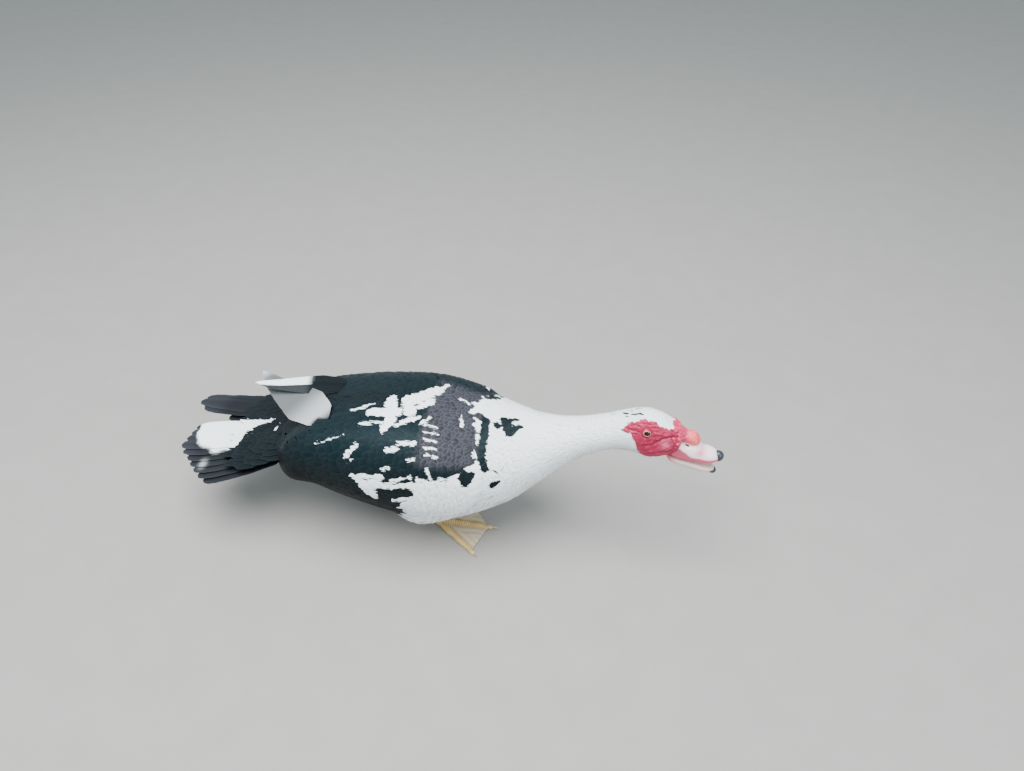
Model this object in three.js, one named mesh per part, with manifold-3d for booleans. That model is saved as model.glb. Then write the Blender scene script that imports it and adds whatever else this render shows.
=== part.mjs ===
// A muscovy drake at life size, walking with its neck stretched forward.
// Millimetres, +X forward, +Y to the drake's left, +Z up, floor at z = 0.

import * as THREE from 'three';
import { ParametricGeometry } from 'three/addons/geometries/ParametricGeometry.js';
import { mergeVertices } from 'three/addons/utils/BufferGeometryUtils.js';
import Module from 'manifold-3d';

const wasm = await Module();
wasm.setup();

// Driving dimensions
const gap = 0.3;
const bodyMiddleHeight = 134;
const bodyHalfWidth = 98;
const bodyHalfHeight = 89;
const wingThickness = 11;
const wingSink = 4;
const bladeThickness = 2.4;
const tailRootX = -222;
const tailRootHeight = 138;
const tailRootHalfWidth = 64;
const tailHalfSpread = 28;
const tailTurnShare = 0.68;
const tailFall = 28;
const tailArch = 4;
const tailThickness = 6;
const eyeRadius = 6.6;
const toeRadius = 5;
const shankRadius = 6.4;

// Sections from tail to face: distance forward, height of the middle, half width, half
// height above and below the middle, and squareness of the outline (2 is an ellipse)
const bodyRows = [
  { x: -246, z: 136, side: 20, up: 10, down: 10, square: 2 },
  { x: -238, z: 135, side: 36, up: 20, down: 20, square: 2 },
  { x: -215, z: 134, side: 54, up: 36, down: 35, square: 2 },
  { x: -170, z: 136, side: 75, up: 59, down: 49, square: 2.1 },
  { x: -110, z: bodyMiddleHeight, side: 92, up: 77, down: 66, square: 2.1 },
  { x: -40, z: bodyMiddleHeight, side: bodyHalfWidth, up: 84, down: bodyHalfHeight, square: 2.1 },
  { x: 25, z: 137, side: 94, up: 77, down: 89, square: 2.1 },
  { x: 75, z: 144, side: 79, up: 67, down: 72, square: 2 },
  { x: 115, z: 156, side: 56, up: 51, down: 50, square: 2 },
  { x: 145, z: 169, side: 39, up: 37, down: 38, square: 2 },
  { x: 175, z: 182, side: 29, up: 27, down: 29, square: 2 },
  { x: 208, z: 195, side: 25, up: 23, down: 25, square: 2 },
  { x: 236, z: 203, side: 25, up: 26, down: 28, square: 2 },
  { x: 262, z: 206, side: 26, up: 31, down: 34, square: 2.2 },
  { x: 282, z: 203, side: 24, up: 28, down: 34, square: 2.3 },
  { x: 298, z: 196, side: 20, up: 22, down: 27, square: 2.3 },
  { x: 308, z: 190, side: 14, up: 15, down: 16, square: 2.2 },
];
const neckBaseX = 128;
const napeX = 236;

const upperBillRows = [
  { x: 297, z: 184, side: 10, up: 14, down: 3, square: 2.4 },
  { x: 302, z: 182, side: 15, up: 19, down: 4, square: 2.4 },
  { x: 320, z: 177, side: 15, up: 21, down: 4, square: 2.4 },
  { x: 336, z: 173, side: 13.5, up: 18, down: 4, square: 2.3 },
  { x: 350, z: 172.5, side: 13.5, up: 13.5, down: 3.5, square: 2.2 },
  { x: 360, z: 172, side: 11.5, up: 9, down: 3, square: 2.2 },
  { x: 367, z: 171.5, side: 5, up: 3.5, down: 3, square: 2 },
];

const lowerBillRows = [
  { x: 297, z: 174, side: 9, up: 2, down: 5, square: 2.4 },
  { x: 303, z: 171, side: 13, up: 3, down: 7, square: 2.4 },
  { x: 325, z: 164, side: 12.5, up: 3, down: 8, square: 2.4 },
  { x: 348, z: 157, side: 11.5, up: 3, down: 7, square: 2.3 },
  { x: 358, z: 154, side: 9, up: 3, down: 5, square: 2.2 },
  { x: 364, z: 152, side: 4, up: 2, down: 3, square: 2 },
];

// Wing outline over the side of the body: top and bottom edges in degrees from the back
const wingRows = [
  { x: -235, top: 66, bottom: 100, thick: 8 },
  { x: -226, top: 50, bottom: 116, thick: 21 },
  { x: -208, top: 32, bottom: 122, thick: 28 },
  { x: -184, top: 22, bottom: 119, thick: 21 },
  { x: -156, top: 13, bottom: 115, thick: 15 },
  { x: -90, top: 8, bottom: 114, thick: wingThickness },
  { x: -20, top: 10, bottom: 116, thick: wingThickness },
  { x: 30, top: 22, bottom: 113, thick: 8 },
  { x: 56, top: 38, bottom: 104, thick: 6 },
  { x: 68, top: 56, bottom: 88, thick: 4 },
  { x: 72, top: 66, bottom: 76, thick: 2 },
];

// Flight feathers that reach past each wing and cross over the rump, and how wide their
// bunch is from the root to the tip, as a share of its full width
const blades = {
  right: { root: [-155, -43, 199], tip: [-296, 50, 188], width: 62 },
  left: { root: [-150, 38, 197], tip: [-290, 5, 203], width: 46 },
};
const bladeRows = [
  { x: 0, share: 0.6 }, { x: 0.22, share: 1 }, { x: 0.5, share: 0.86 }, { x: 0.75, share: 0.52 }, { x: 1, share: 0.36 },
];

// Two fans of tail feathers: spread to the left in degrees, with the feathers' length there
const tailFans = [
  [{ x: 4.5, length: 150 }, { x: 9, length: 184 }, { x: 13, length: 204 }, { x: 19, length: 172 },
    { x: tailHalfSpread, length: 112 }],
  [{ x: -tailHalfSpread, length: 120 }, { x: -18, length: 160 }, { x: -9, length: 187 }, { x: 1, length: 176 }],
];

// Feet: where the toes meet, which way the middle toe points, and where the hock is
const legs = {
  right: { side: -1, joint: [-22, -21], heading: 0, hock: [-66, -42, 56] },
  left: { side: 1, joint: [-108, 42], heading: 4, hock: [-150, 52, 58] },
};
const toes = [
  { turn: 38, length: 84, claw: 9 },
  { turn: 0, length: 82, claw: 13 },
  { turn: -32, length: 66, claw: 10 },
];
const hindToe = { turn: 205, length: 20, claw: 8 };

const finish = {
  dark: { color: 0x14201f, roughness: 0.5, metalness: 0.1 },
  white: { color: 0xf0f2f2, roughness: 0.85, metalness: 0 },
  red: { color: 0xb92c45, roughness: 0.5, metalness: 0 },
  bill: { color: 0xe6c4c6, roughness: 0.35, metalness: 0 },
  nail: { color: 0x20242a, roughness: 0.35, metalness: 0 },
  eye: { color: 0x2a1d14, roughness: 0.08, metalness: 0 },
  foot: { color: 0xc4a05c, roughness: 0.6, metalness: 0 },
};

const radians = THREE.MathUtils.degToRad;
const mix = THREE.MathUtils.lerp;

// Smooth value between table rows
function sample(rows, key, x) {
  let i = 0;
  while (i < rows.length - 2 && x > rows[i + 1].x) i += 1;
  const [from, to] = [rows[i], rows[i + 1]];
  const before = rows[Math.max(i - 1, 0)];
  const after = rows[Math.min(i + 2, rows.length - 1)];
  const span = to.x - from.x;
  const slopeFrom = (to[key] - before[key]) / (to.x - before.x);
  const slopeTo = (after[key] - from[key]) / (after.x - from.x);
  const t = THREE.MathUtils.clamp((x - from.x) / span, 0, 1);
  const t2 = t * t;
  const t3 = t2 * t;
  return (2 * t3 - 3 * t2 + 1) * from[key] + (t3 - 2 * t2 + t) * span * slopeFrom
    + (3 * t2 - 2 * t3) * to[key] + (t3 - t2) * span * slopeTo;
}

// A point on the outline of a section: angle 0 is the top, a quarter turn is the left side
function outlinePoint(rows, x, angle, outward, target) {
  const reach = 4;
  const slope = (sample(rows, 'z', x + reach) - sample(rows, 'z', x - reach)) / (2 * reach);
  const tilt = Math.atan(slope);
  const power = 2 / sample(rows, 'square', x);
  const across = Math.sin(angle);
  const upward = Math.cos(angle);
  const height = sample(rows, upward > 0 ? 'up' : 'down', x) + outward;
  const rise = Math.sign(upward) * Math.abs(upward) ** power * height;
  const y = Math.sign(across) * Math.abs(across) ** power * (sample(rows, 'side', x) + outward);
  const z = sample(rows, 'z', x) + Math.cos(tilt) * rise;
  return target.set(x - Math.sin(tilt) * rise, y, z);
}

// Joins the doubled vertices of a geometry and drops the triangles that have no area
function weld(geometry) {
  const bare = geometry.clone();
  bare.deleteAttribute('normal');
  bare.deleteAttribute('uv');
  const merged = mergeVertices(bare, 1e-3);
  const corners = merged.index.array;
  const kept = [];
  for (let i = 0; i < corners.length; i += 3) {
    const [a, b, c] = [corners[i], corners[i + 1], corners[i + 2]];
    if (a !== b && b !== c && c !== a) kept.push(a, b, c);
  }
  merged.setIndex(kept);
  return merged;
}

// Signed volume, which is negative where the faces point inward
function volumeOf(geometry) {
  const place = geometry.attributes.position;
  const corners = geometry.index.array;
  const [a, b, c] = [new THREE.Vector3(), new THREE.Vector3(), new THREE.Vector3()];
  let sum = 0;
  for (let i = 0; i < corners.length; i += 3) {
    a.fromBufferAttribute(place, corners[i]);
    b.fromBufferAttribute(place, corners[i + 1]);
    c.fromBufferAttribute(place, corners[i + 2]);
    sum += a.dot(b.cross(c));
  }
  return sum / 6;
}

// A geometry as a solid, its vertices moved outward along their normals by an amount
function solid(geometry, outward = 0) {
  const welded = weld(geometry);
  const corners = Array.from(welded.index.array);
  if (volumeOf(welded) < 0) corners.reverse();
  welded.setIndex(corners);
  welded.computeVertexNormals();
  const place = welded.attributes.position;
  const normal = welded.attributes.normal;
  const point = new THREE.Vector3();
  const away = new THREE.Vector3();
  for (let i = 0; i < place.count; i += 1) {
    point.fromBufferAttribute(place, i);
    point.addScaledVector(away.fromBufferAttribute(normal, i), outward);
    place.setXYZ(i, point.x, point.y, point.z);
  }
  return new wasm.Manifold(new wasm.Mesh({
    numProp: 3,
    vertProperties: new Float32Array(place.array),
    triVerts: new Uint32Array(corners),
  }));
}

function geometryOf(manifold) {
  const mesh = manifold.getMesh();
  const geometry = new THREE.BufferGeometry();
  geometry.setAttribute('position', new THREE.BufferAttribute(new Float32Array(mesh.vertProperties), 3));
  geometry.setIndex(Array.from(mesh.triVerts));
  return geometry;
}

// What is left of a piece beside its neighbours, with the gap between them
function beside(piece, ...neighbours) {
  const cut = (left, next) => left.subtract(solid(geometryOf(next), gap)).subtract(next);
  return neighbours.reduce(cut, piece);
}

function joined(...pieces) {
  return pieces.reduce((sum, next) => sum.add(next));
}

// The largest body of a piece that a cut has parted
function largestOf(piece) {
  return piece.decompose().sort((a, b) => b.volume() - a.volume())[0];
}

// Closed surface from a function of distance along and turn around, both 0 to 1,
// with each end drawn together to one point
function closedSkin(pointAt, along, around) {
  const opposite = new THREE.Vector3();
  return solid(new ParametricGeometry((u, v, target) => {
    if (u > 0 && u < 1) return pointAt(u, v % 1, target);
    pointAt(u, 0, target);
    return target.add(pointAt(u, 0.5, opposite)).multiplyScalar(0.5);
  }, along, around));
}

function slab(from, to) {
  const size = 800;
  const box = new THREE.BoxGeometry(to - from, size, size);
  box.translate((from + to) / 2, 0, 0);
  return solid(box);
}

// Round lump: middle, half sizes, and how far its front tips down, in degrees
function lump(middle, halfSizes, tip = 0, detail = 2) {
  const ball = new THREE.IcosahedronGeometry(1, detail);
  ball.scale(...halfSizes);
  ball.rotateY(radians(tip));
  ball.translate(...middle);
  return solid(ball);
}

// Form whose sections follow table rows, a little crowded toward both ends
function formOf(rows, along, around, crowding) {
  const [from, to] = [rows[0].x, rows[rows.length - 1].x];
  return closedSkin((u, v, target) => {
    const x = mix(from, to, u - Math.sin(2 * Math.PI * u) * crowding);
    return outlinePoint(rows, x, v * 2 * Math.PI, 0, target);
  }, along, around);
}

// Wing: a shell over one side of the body
function wingShell(side) {
  const [from, to] = [wingRows[0].x, wingRows[wingRows.length - 1].x];
  return closedSkin((u, v, target) => {
    const x = mix(from, to, u - Math.sin(2 * Math.PI * u) * 0.1);
    const outside = v < 0.5;
    const across = outside ? v * 2 : 2 - v * 2;
    const angle = radians(mix(sample(wingRows, 'top', x), sample(wingRows, 'bottom', x), across));
    const arch = Math.sqrt(1 - (2 * across - 1) ** 4);
    const outward = outside ? sample(wingRows, 'thick', x) * arch : -wingSink * arch;
    return outlinePoint(bodyRows, x, side * angle, outward, target);
  }, 15, 14);
}

// The folded flight feathers behind a wing, as one thin blade
function bladeOf({ root, tip, width }) {
  const start = new THREE.Vector3(...root);
  const along = new THREE.Vector3(...tip).sub(start);
  const across = new THREE.Vector3(-along.y, along.x, 0).normalize();
  const upward = along.clone().cross(across).normalize();
  return closedSkin((u, v, target) => {
    const rounding = Math.sqrt(1 - (2 * u - 1) ** 8);
    const turn = v * 2 * Math.PI;
    const flat = Math.sign(Math.sin(turn)) * Math.sqrt(Math.abs(Math.sin(turn)));
    target.copy(start).addScaledVector(along, u);
    target.addScaledVector(across, Math.cos(turn) * rounding * width * sample(bladeRows, 'share', u) / 2);
    return target.addScaledVector(upward, flat * rounding * bladeThickness / 2);
  }, 8, 8);
}

// Tail: a fan of feathers that falls toward its tip and arches across
function tailFan(rows) {
  const [from, to] = [rows[0].x, rows[rows.length - 1].x];
  return closedSkin((u, v, target) => {
    const outside = v < 0.5;
    const across = outside ? v * 2 : 2 - v * 2;
    const spread = mix(from, to, across);
    const edge = Math.sqrt(1 - (2 * across - 1) ** 6);
    const ends = Math.sqrt(1 - (2 * u - 1) ** 10);
    const reach = u * sample(rows, 'length', spread) * (0.95 + 0.05 * edge);
    const thick = mix(tailThickness, 1.6, u) / 2 * ends * (0.3 + 0.7 * edge);
    const heading = radians(spread * tailTurnShare);
    const x = tailRootX - Math.cos(heading) * reach;
    const y = tailRootHalfWidth * spread / tailHalfSpread + Math.sin(heading) * reach;
    const z = tailRootHeight - tailFall * u - tailArch * (spread / tailHalfSpread) ** 2;
    return target.set(x, y, z + (outside ? thick : -thick));
  }, 8, 16);
}

// Toe or shank: a tapered limb between two points, a little thicker at its joints
function limb(start, end, startRadius, endRadius, joints = 0, along = 8, around = 8) {
  const from = new THREE.Vector3(...start);
  const reach = new THREE.Vector3(...end).sub(from);
  const side = new THREE.Vector3(0, 0, 1).cross(reach).normalize();
  const upward = reach.clone().cross(side).normalize();
  return closedSkin((u, v, target) => {
    const rounding = Math.sqrt(1 - (2 * u - 1) ** 10);
    const knuckle = 1 + 0.12 * Math.cos(2 * Math.PI * u * joints) * (joints > 0 ? 1 : 0);
    const radius = mix(startRadius, endRadius, u) * rounding * knuckle;
    const turn = v * 2 * Math.PI;
    target.copy(from).addScaledVector(reach, u);
    target.addScaledVector(side, Math.cos(turn) * radius);
    return target.addScaledVector(upward, Math.sin(turn) * radius);
  }, along, around);
}

function toeOf(joint, heading, length, claw, joints) {
  const ahead = [Math.cos(heading), Math.sin(heading)];
  const at = (distance, z) => [joint[0] + ahead[0] * distance, joint[1] + ahead[1] * distance, z];
  const toe = limb(at(0, toeRadius), at(length, toeRadius * 0.6), toeRadius * 1.2, toeRadius * 0.75, joints, 6, 8);
  return joined(toe, limb(at(length - 6, 3.2), at(length + claw, 1.4), 2.6, 0.9, 0, 3, 6));
}

// Web between the toes, its front edge drawn in between their tips
function webOf(joint, side, heading) {
  const tipOf = ({ turn, length }, share) => {
    const angle = radians(heading + side * turn);
    const [x, y] = [joint[0] + Math.cos(angle) * length * share, joint[1] + Math.sin(angle) * length * share];
    return new THREE.Vector2(x, y);
  };
  const outline = new THREE.Shape();
  outline.moveTo(...joint);
  const first = tipOf(toes[0], 0.93);
  outline.lineTo(first.x, first.y);
  for (const [from, to] of [[0, 1], [1, 2]]) {
    const end = tipOf(toes[to], 0.93);
    const middle = tipOf(toes[from], 0.8).add(tipOf(toes[to], 0.8)).multiplyScalar(0.5);
    outline.quadraticCurveTo(middle.x, middle.y, end.x, end.y);
  }
  outline.closePath();
  return solid(new THREE.ExtrudeGeometry(outline, { depth: 3, bevelEnabled: false, curveSegments: 5 }));
}

// Everything above the floor, so that the soles are flat
const floorBox = new THREE.BoxGeometry(1200, 600, 60);
floorBox.translate(0, 0, -30);
const floor = solid(floorBox);

function footOf({ side, joint, heading }) {
  const front = toes.map((toe, i) => toeOf(joint, radians(heading + side * toe.turn), toe.length, toe.claw, 3 - i % 2));
  const hind = toeOf(joint, radians(heading + side * hindToe.turn), hindToe.length, hindToe.claw, 1);
  const knuckle = lump([joint[0], joint[1], 9], [10, 9.5, 9], 0, 1);
  return joined(...front, hind, knuckle, webOf(joint, side, heading)).subtract(floor);
}

const wholeBody = formOf(bodyRows, 30, 22, 0.03);
const caruncle = joined(
  lump([300, 0, 217], [11, 11, 8], 35, 1),
  lump([311, 0, 208], [13, 12, 9], 35, 1),
  lump([325, 0, 202], [12, 10.5, 8.5], 30, 1),
);
const upperNail = lump([363.5, 0, 172.5], [6.5, 6.5, 7.5], 30, 1);
const lowerNail = lump([360, 0, 150.5], [6, 6, 4], 20, 1);
const upperBill = formOf(upperBillRows, 12, 12, 0.06);
const lowerBill = formOf(lowerBillRows, 11, 12, 0.06);

// Opening of the mouth between the two halves of the bill, back to its corner
const mouthShape = new THREE.Shape([[292, 181], [330, 173], [330, 162]].map(([x, z]) => new THREE.Vector2(x, z)));
const mouthBox = new THREE.ExtrudeGeometry(mouthShape, { depth: 80, bevelEnabled: false });
mouthBox.rotateX(Math.PI / 2);
mouthBox.translate(0, 40, 0);
const mouth = solid(mouthBox);

const pieces = {};
function add(name, manifold, look) {
  pieces[name] = { manifold, look };
}

const eyes = {};
const wings = {};
const thighs = {};
for (const [name, { side, hock }] of Object.entries(legs)) {
  eyes[name] = lump([265, side * 20.5, 220], [eyeRadius, eyeRadius, eyeRadius]);
  wings[name] = wingShell(side);
  const thighMiddle = [mix(hock[0], 5, 0.45), side * 52, 75];
  thighs[name] = [
    lump(thighMiddle, [44, 31, 34], 20),
    lump([hock[0] + 18, hock[1], hock[2] + 6], [30, 16, 17], 20, 1),
  ];
}
const tailPieces = [...tailFans.map(tailFan), lump([-230, 0, 136], [26, 45, 9], -8, 1)];

const trunkForm = wholeBody.intersect(slab(-400, neckBaseX - gap));
add('trunk', beside(trunkForm, wings.left, wings.right, ...tailPieces), finish.dark);
add('neck', wholeBody.intersect(slab(neckBaseX, napeX - gap)), finish.white);
const headForm = wholeBody.intersect(slab(napeX, 400)).subtract(mouth);
add('head', beside(headForm, eyes.left, eyes.right, caruncle, upperBill, lowerBill), finish.red);
add('caruncle', caruncle, finish.red);
add('bill_upper', beside(upperBill, caruncle, upperNail), finish.bill);
add('bill_lower', beside(lowerBill, lowerNail), finish.bill);
add('nail_upper', upperNail, finish.nail);
add('nail_lower', lowerNail, finish.nail);
add('tail', beside(joined(...tailPieces), wings.left, wings.right), finish.dark);
for (const [name, leg] of Object.entries(legs)) {
  const shank = limb(leg.hock, [...leg.joint, 9], shankRadius * 1.15, shankRadius, 1, 6);
  const foot = footOf(leg);
  const flight = beside(bladeOf(blades[name]), wholeBody, wings[name], ...tailPieces);
  add(`eye_${name}`, eyes[name], finish.eye);
  add(`wing_${name}`, wings[name], finish.dark);
  add(`flight_${name}`, largestOf(flight), finish.white);
  add(`thigh_${name}`, beside(joined(...thighs[name]), wholeBody, wings[name]), finish.white);
  add(`shank_${name}`, beside(shank, ...thighs[name], wholeBody, foot), finish.foot);
  add(`foot_${name}`, foot, finish.foot);
}

const drake = new THREE.Group();
for (const [name, { manifold, look }] of Object.entries(pieces)) {
  const mesh = new THREE.Mesh(geometryOf(manifold), new THREE.MeshStandardMaterial(look));
  mesh.name = name;
  drake.add(mesh);
}

// The origin is on the floor, under the middle of the whole drake
const bounds = new THREE.Box3().setFromObject(drake);
const middle = bounds.getCenter(new THREE.Vector3());
drake.position.set(-middle.x, -middle.y, -bounds.min.z);
drake.updateMatrixWorld(true);

export default drake;
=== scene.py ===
# %% [markdown]
# A muscovy drake, walking with its neck stretched out, as a still museum model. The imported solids
# give its size and outline. Over them this lesson builds one skin, several thousand feathers as thin
# closed vanes, a bare wrinkled face, a bill, eyes and webbed feet. Lengths in tables are millimetres
# in the drake's own frame: +X forward, +Y to its left, +Z up, the floor at zero.

# %% Load the frame
import math

import bmesh
import bpy
import numpy as np
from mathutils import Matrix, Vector


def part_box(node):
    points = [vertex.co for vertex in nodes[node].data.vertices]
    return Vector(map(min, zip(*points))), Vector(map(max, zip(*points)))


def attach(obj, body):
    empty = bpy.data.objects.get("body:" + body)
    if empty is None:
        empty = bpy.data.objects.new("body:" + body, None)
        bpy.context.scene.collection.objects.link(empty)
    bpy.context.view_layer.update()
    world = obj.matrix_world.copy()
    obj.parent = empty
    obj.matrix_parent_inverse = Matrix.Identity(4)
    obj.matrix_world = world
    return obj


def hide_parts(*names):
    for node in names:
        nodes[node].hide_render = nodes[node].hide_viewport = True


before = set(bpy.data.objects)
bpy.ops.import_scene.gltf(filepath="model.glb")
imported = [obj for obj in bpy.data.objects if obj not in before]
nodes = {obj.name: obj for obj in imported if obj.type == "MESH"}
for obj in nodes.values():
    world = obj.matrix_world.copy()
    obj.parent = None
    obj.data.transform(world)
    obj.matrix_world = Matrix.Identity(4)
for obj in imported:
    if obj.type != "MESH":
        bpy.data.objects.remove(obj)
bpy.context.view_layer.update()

mm = 0.001
eye_x = 265
eye_low, eye_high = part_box("eye_right")
frame_shift = (eye_low.x + eye_high.x) / 2 - eye_x * mm
random = np.random.default_rng(7)
print("frame of", len(nodes), "solids, drake set forward by", round(frame_shift / mm, 2), "mm")

# %% [markdown]
# The camera comes first. It stands to the drake's right, at about the height of a person's chest,
# and looks down on the back. Its lens is given as a focal length in pixels of the photograph, which
# is how it was worked out.

# %% Camera
camera_place = (0.2408, -0.7872, 0.880)
camera_turn = math.radians(10)
camera_dip = math.radians(38)
photo_width_pixels = 1024
focal_length_pixels = 785

camera_data = bpy.data.cameras.new("camera")
camera_data.sensor_width = 36
camera_data.lens = focal_length_pixels / photo_width_pixels * camera_data.sensor_width
camera = bpy.data.objects.new("camera", camera_data)
camera.location = camera_place
camera.rotation_euler = (math.pi / 2 - camera_dip, 0, camera_turn)
bpy.context.collection.objects.link(camera)
bpy.context.scene.camera = camera
print("lens", round(camera_data.lens, 2), "mm")

# %% [markdown]
# Shader maths reads best as plain arithmetic. A small class wraps one output socket, and an
# expression on it adds Math nodes, so 1 - mask * 0.5 is two nodes. Every other node comes from one
# method, which sets the node's options first and then its values or links.

# %% Shader sockets as numbers
class Wire:
    """One output socket of a material's nodes."""

    def __init__(self, tree, socket=None):
        self.tree = tree
        self.socket = socket

    def node(self, kind, settings, inputs, output=0):
        made = self.tree.nodes.new(kind)
        for name, value in settings.items():
            setattr(made, name, value)
        for name, value in inputs.items():
            if isinstance(value, Wire):
                self.tree.links.new(value.socket, made.inputs[name])
            else:
                made.inputs[name].default_value = value
        return Wire(self.tree, made.outputs[output])

    def maths(self, operation, first, second=0.0):
        return self.node("ShaderNodeMath", {"operation": operation}, {0: first, 1: second})

    def __add__(self, other):
        return self.maths("ADD", self, other)

    def __radd__(self, other):
        return self.maths("ADD", other, self)

    def __sub__(self, other):
        return self.maths("SUBTRACT", self, other)

    def __rsub__(self, other):
        return self.maths("SUBTRACT", other, self)

    def __mul__(self, other):
        return self.maths("MULTIPLY", self, other)

    def __rmul__(self, other):
        return self.maths("MULTIPLY", other, self)

    def step(self, low, high):
        """0 below low and 1 above high, smooth between them."""
        return self.node("ShaderNodeMapRange", {"interpolation_type": "SMOOTHSTEP"},
                         {"Value": self, "From Min": low, "From Max": high})


class Finish:
    """A material with one Principled shader, and the sources that its patterns read."""

    def __init__(self, name, roughness, specular=0.5):
        self.material = bpy.data.materials.new(name)
        self.material.use_nodes = True
        self.tree = self.material.node_tree
        self.shader = self.tree.nodes["Principled BSDF"]
        self.shader.inputs["Roughness"].default_value = roughness
        self.shader.inputs["Specular IOR Level"].default_value = specular
        self.make = Wire(self.tree)

    def constant(self, **values):
        for name, value in values.items():
            self.shader.inputs[name.replace("_", " ")].default_value = value

    def feed(self, **wires):
        for name, wire in wires.items():
            self.tree.links.new(wire.socket, self.shader.inputs[name.replace("_", " ")])

    def place(self):
        return self.make.node("ShaderNodeTexCoord", {}, {}, "Object")

    def attribute(self, name, channel):
        """One channel of a colour that each corner carries."""
        wire = self.make.node("ShaderNodeAttribute", {"attribute_name": name}, {}, "Color")
        return self.make.node("ShaderNodeSeparateColor", {}, {"Color": wire}, channel)

    def value(self, name):
        return self.make.node("ShaderNodeAttribute", {"attribute_name": name}, {}, "Fac")

    def along_and_across(self, uv_name):
        uv = self.make.node("ShaderNodeUVMap", {"uv_map": uv_name}, {})
        along = self.make.node("ShaderNodeSeparateXYZ", {}, {"Vector": uv}, "X")
        across = self.make.node("ShaderNodeSeparateXYZ", {}, {"Vector": uv}, "Y")
        return along, across

    def noise(self, size_mm, detail=3.0, roughness=0.55, stretch=(1, 1, 1)):
        place = self.make.node("ShaderNodeMapping", {}, {"Vector": self.place(), "Scale": stretch})
        inputs = {"Vector": place, "Scale": 1 / (size_mm * mm), "Detail": detail,
                  "Roughness": roughness}
        return self.make.node("ShaderNodeTexNoise", {}, inputs, "Fac")

    def cells(self, size_mm, feature="F1"):
        inputs = {"Vector": self.place(), "Scale": 1 / (size_mm * mm)}
        return self.make.node("ShaderNodeTexVoronoi", {"feature": feature}, inputs, "Distance")

    def blend(self, share, first, second):
        """First colour where share is 0, second where it is 1."""
        inputs = {0: share, 6: first, 7: second}
        return self.make.node("ShaderNodeMix", {"data_type": "RGBA"}, inputs, 2)

    def mottle(self, size_mm, detail, first, second):
        """Two colours, each as red, green and blue, in soft patches of about a size."""
        return self.blend(self.noise(size_mm, detail), colour(*first), colour(*second))

    def relief(self, height, depth_mm, strength):
        inputs = {"Height": height, "Distance": depth_mm * mm, "Strength": strength}
        self.feed(Normal=self.make.node("ShaderNodeBump", {}, inputs))


def colour(red, green, blue):
    """A colour as the eye reads it, 0 to 255, as the linear values that shaders use."""
    def linear(value):
        value = value / 255
        return value / 12.92 if value <= 0.04045 else ((value + 0.055) / 1.055) ** 2.4
    return (linear(red), linear(green), linear(blue), 1.0)


# %% [markdown]
# The floor is plain and pale and the light is soft, as under an overcast sky: a wide panel high
# above the drake, a weaker one from the front, and a dim even surround that fills the shadows.

# %% Floor and studio light
def link(name, data):
    thing = bpy.data.objects.new(name, data)
    bpy.context.collection.objects.link(thing)
    return thing


def piece_of(name, bm, smooth=True):
    """An object with the faces of bm, which is then freed."""
    for face in bm.faces:
        face.smooth = smooth
    mesh = bpy.data.meshes.new(name)
    bm.to_mesh(mesh)
    bm.free()
    return link(name, mesh)


def panel(name, place, target, size, watts, tint):
    data = bpy.data.lights.new(name, "AREA")
    data.shape = "DISK"
    data.size = size
    data.energy = watts
    data.color = tint
    lamp = link(name, data)
    lamp.location = place
    lamp.rotation_euler = (Vector(target) - Vector(place)).to_track_quat("-Z", "Y").to_euler()


floor_mesh = bmesh.new()
bmesh.ops.create_grid(floor_mesh, x_segments=1, y_segments=1, size=6)
floor = piece_of("floor", floor_mesh, smooth=False)
floor_finish = Finish("floor_paper", 0.9, 0.2)
floor_finish.feed(Base_Color=floor_finish.mottle(60, 3, (146, 144, 140), (154, 152, 148)))
floor.data.materials.append(floor_finish.material)

panel("sky_panel", (-0.2, -0.5, 2.3), (0, 0, 0.1), 2.2, 160, (0.98, 1.0, 1.0))
panel("front_panel", (1.9, -1.5, 1.2), (0.1, 0, 0.15), 1.4, 30, (0.96, 0.98, 1.0))
surround = bpy.data.worlds.new("surround")
surround.use_nodes = True
surround.node_tree.nodes["Background"].inputs["Color"].default_value = (0.80, 0.92, 1.0, 1)
surround.node_tree.nodes["Background"].inputs["Strength"].default_value = 0.95
bpy.context.scene.world = surround

# %% [markdown]
# The body's outline is a row of sections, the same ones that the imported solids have: distance
# forward, height of the middle, half width, height above and below the middle, and squareness. A
# smooth curve runs through the rows. Any point on the drake is then a distance along it and an
# angle round it, with 0 on the back and a minus sign on its right side.

# %% The shape of the body
body_rows = np.array([
    (-300, 128, 34, 5, 5, 2), (-246, 136, 20, 10, 10, 2), (-238, 135, 36, 20, 20, 2),
    (-215, 134, 54, 36, 35, 2), (-170, 136, 75, 59, 49, 2.1), (-110, 134, 92, 77, 66, 2.1),
    (-40, 134, 98, 84, 89, 2.1), (25, 137, 94, 77, 89, 2.1), (75, 144, 79, 67, 72, 2),
    (115, 156, 56, 51, 50, 2), (145, 169, 39, 37, 38, 2), (175, 182, 29, 27, 29, 2),
    (208, 195, 25, 23, 25, 2), (236, 203, 25, 26, 28, 2), (262, 206, 26, 31, 34, 2.2),
    (282, 203, 24, 28, 34, 2.3), (298, 196, 20, 22, 27, 2.3), (308, 190, 14, 15, 16, 2.2)], float)
wing_rows = np.array([
    (-235, 66, 100, 8), (-226, 50, 116, 21), (-208, 32, 122, 28), (-184, 22, 119, 21),
    (-156, 13, 115, 15), (-90, 8, 114, 11), (-20, 10, 116, 11), (30, 22, 113, 8), (56, 38, 104, 6),
    (68, 56, 88, 4), (72, 66, 76, 2)], float)
middle_column, width_column, above_column, below_column, power_column = range(1, 6)
wing_top_column, wing_bottom_column, wing_thickness_column = range(1, 4)
tail_end, face_end = -246, 308
slope_reach = 4.0
right, left = -1, 1
both_sides = (("right", right), ("left", left))


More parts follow.
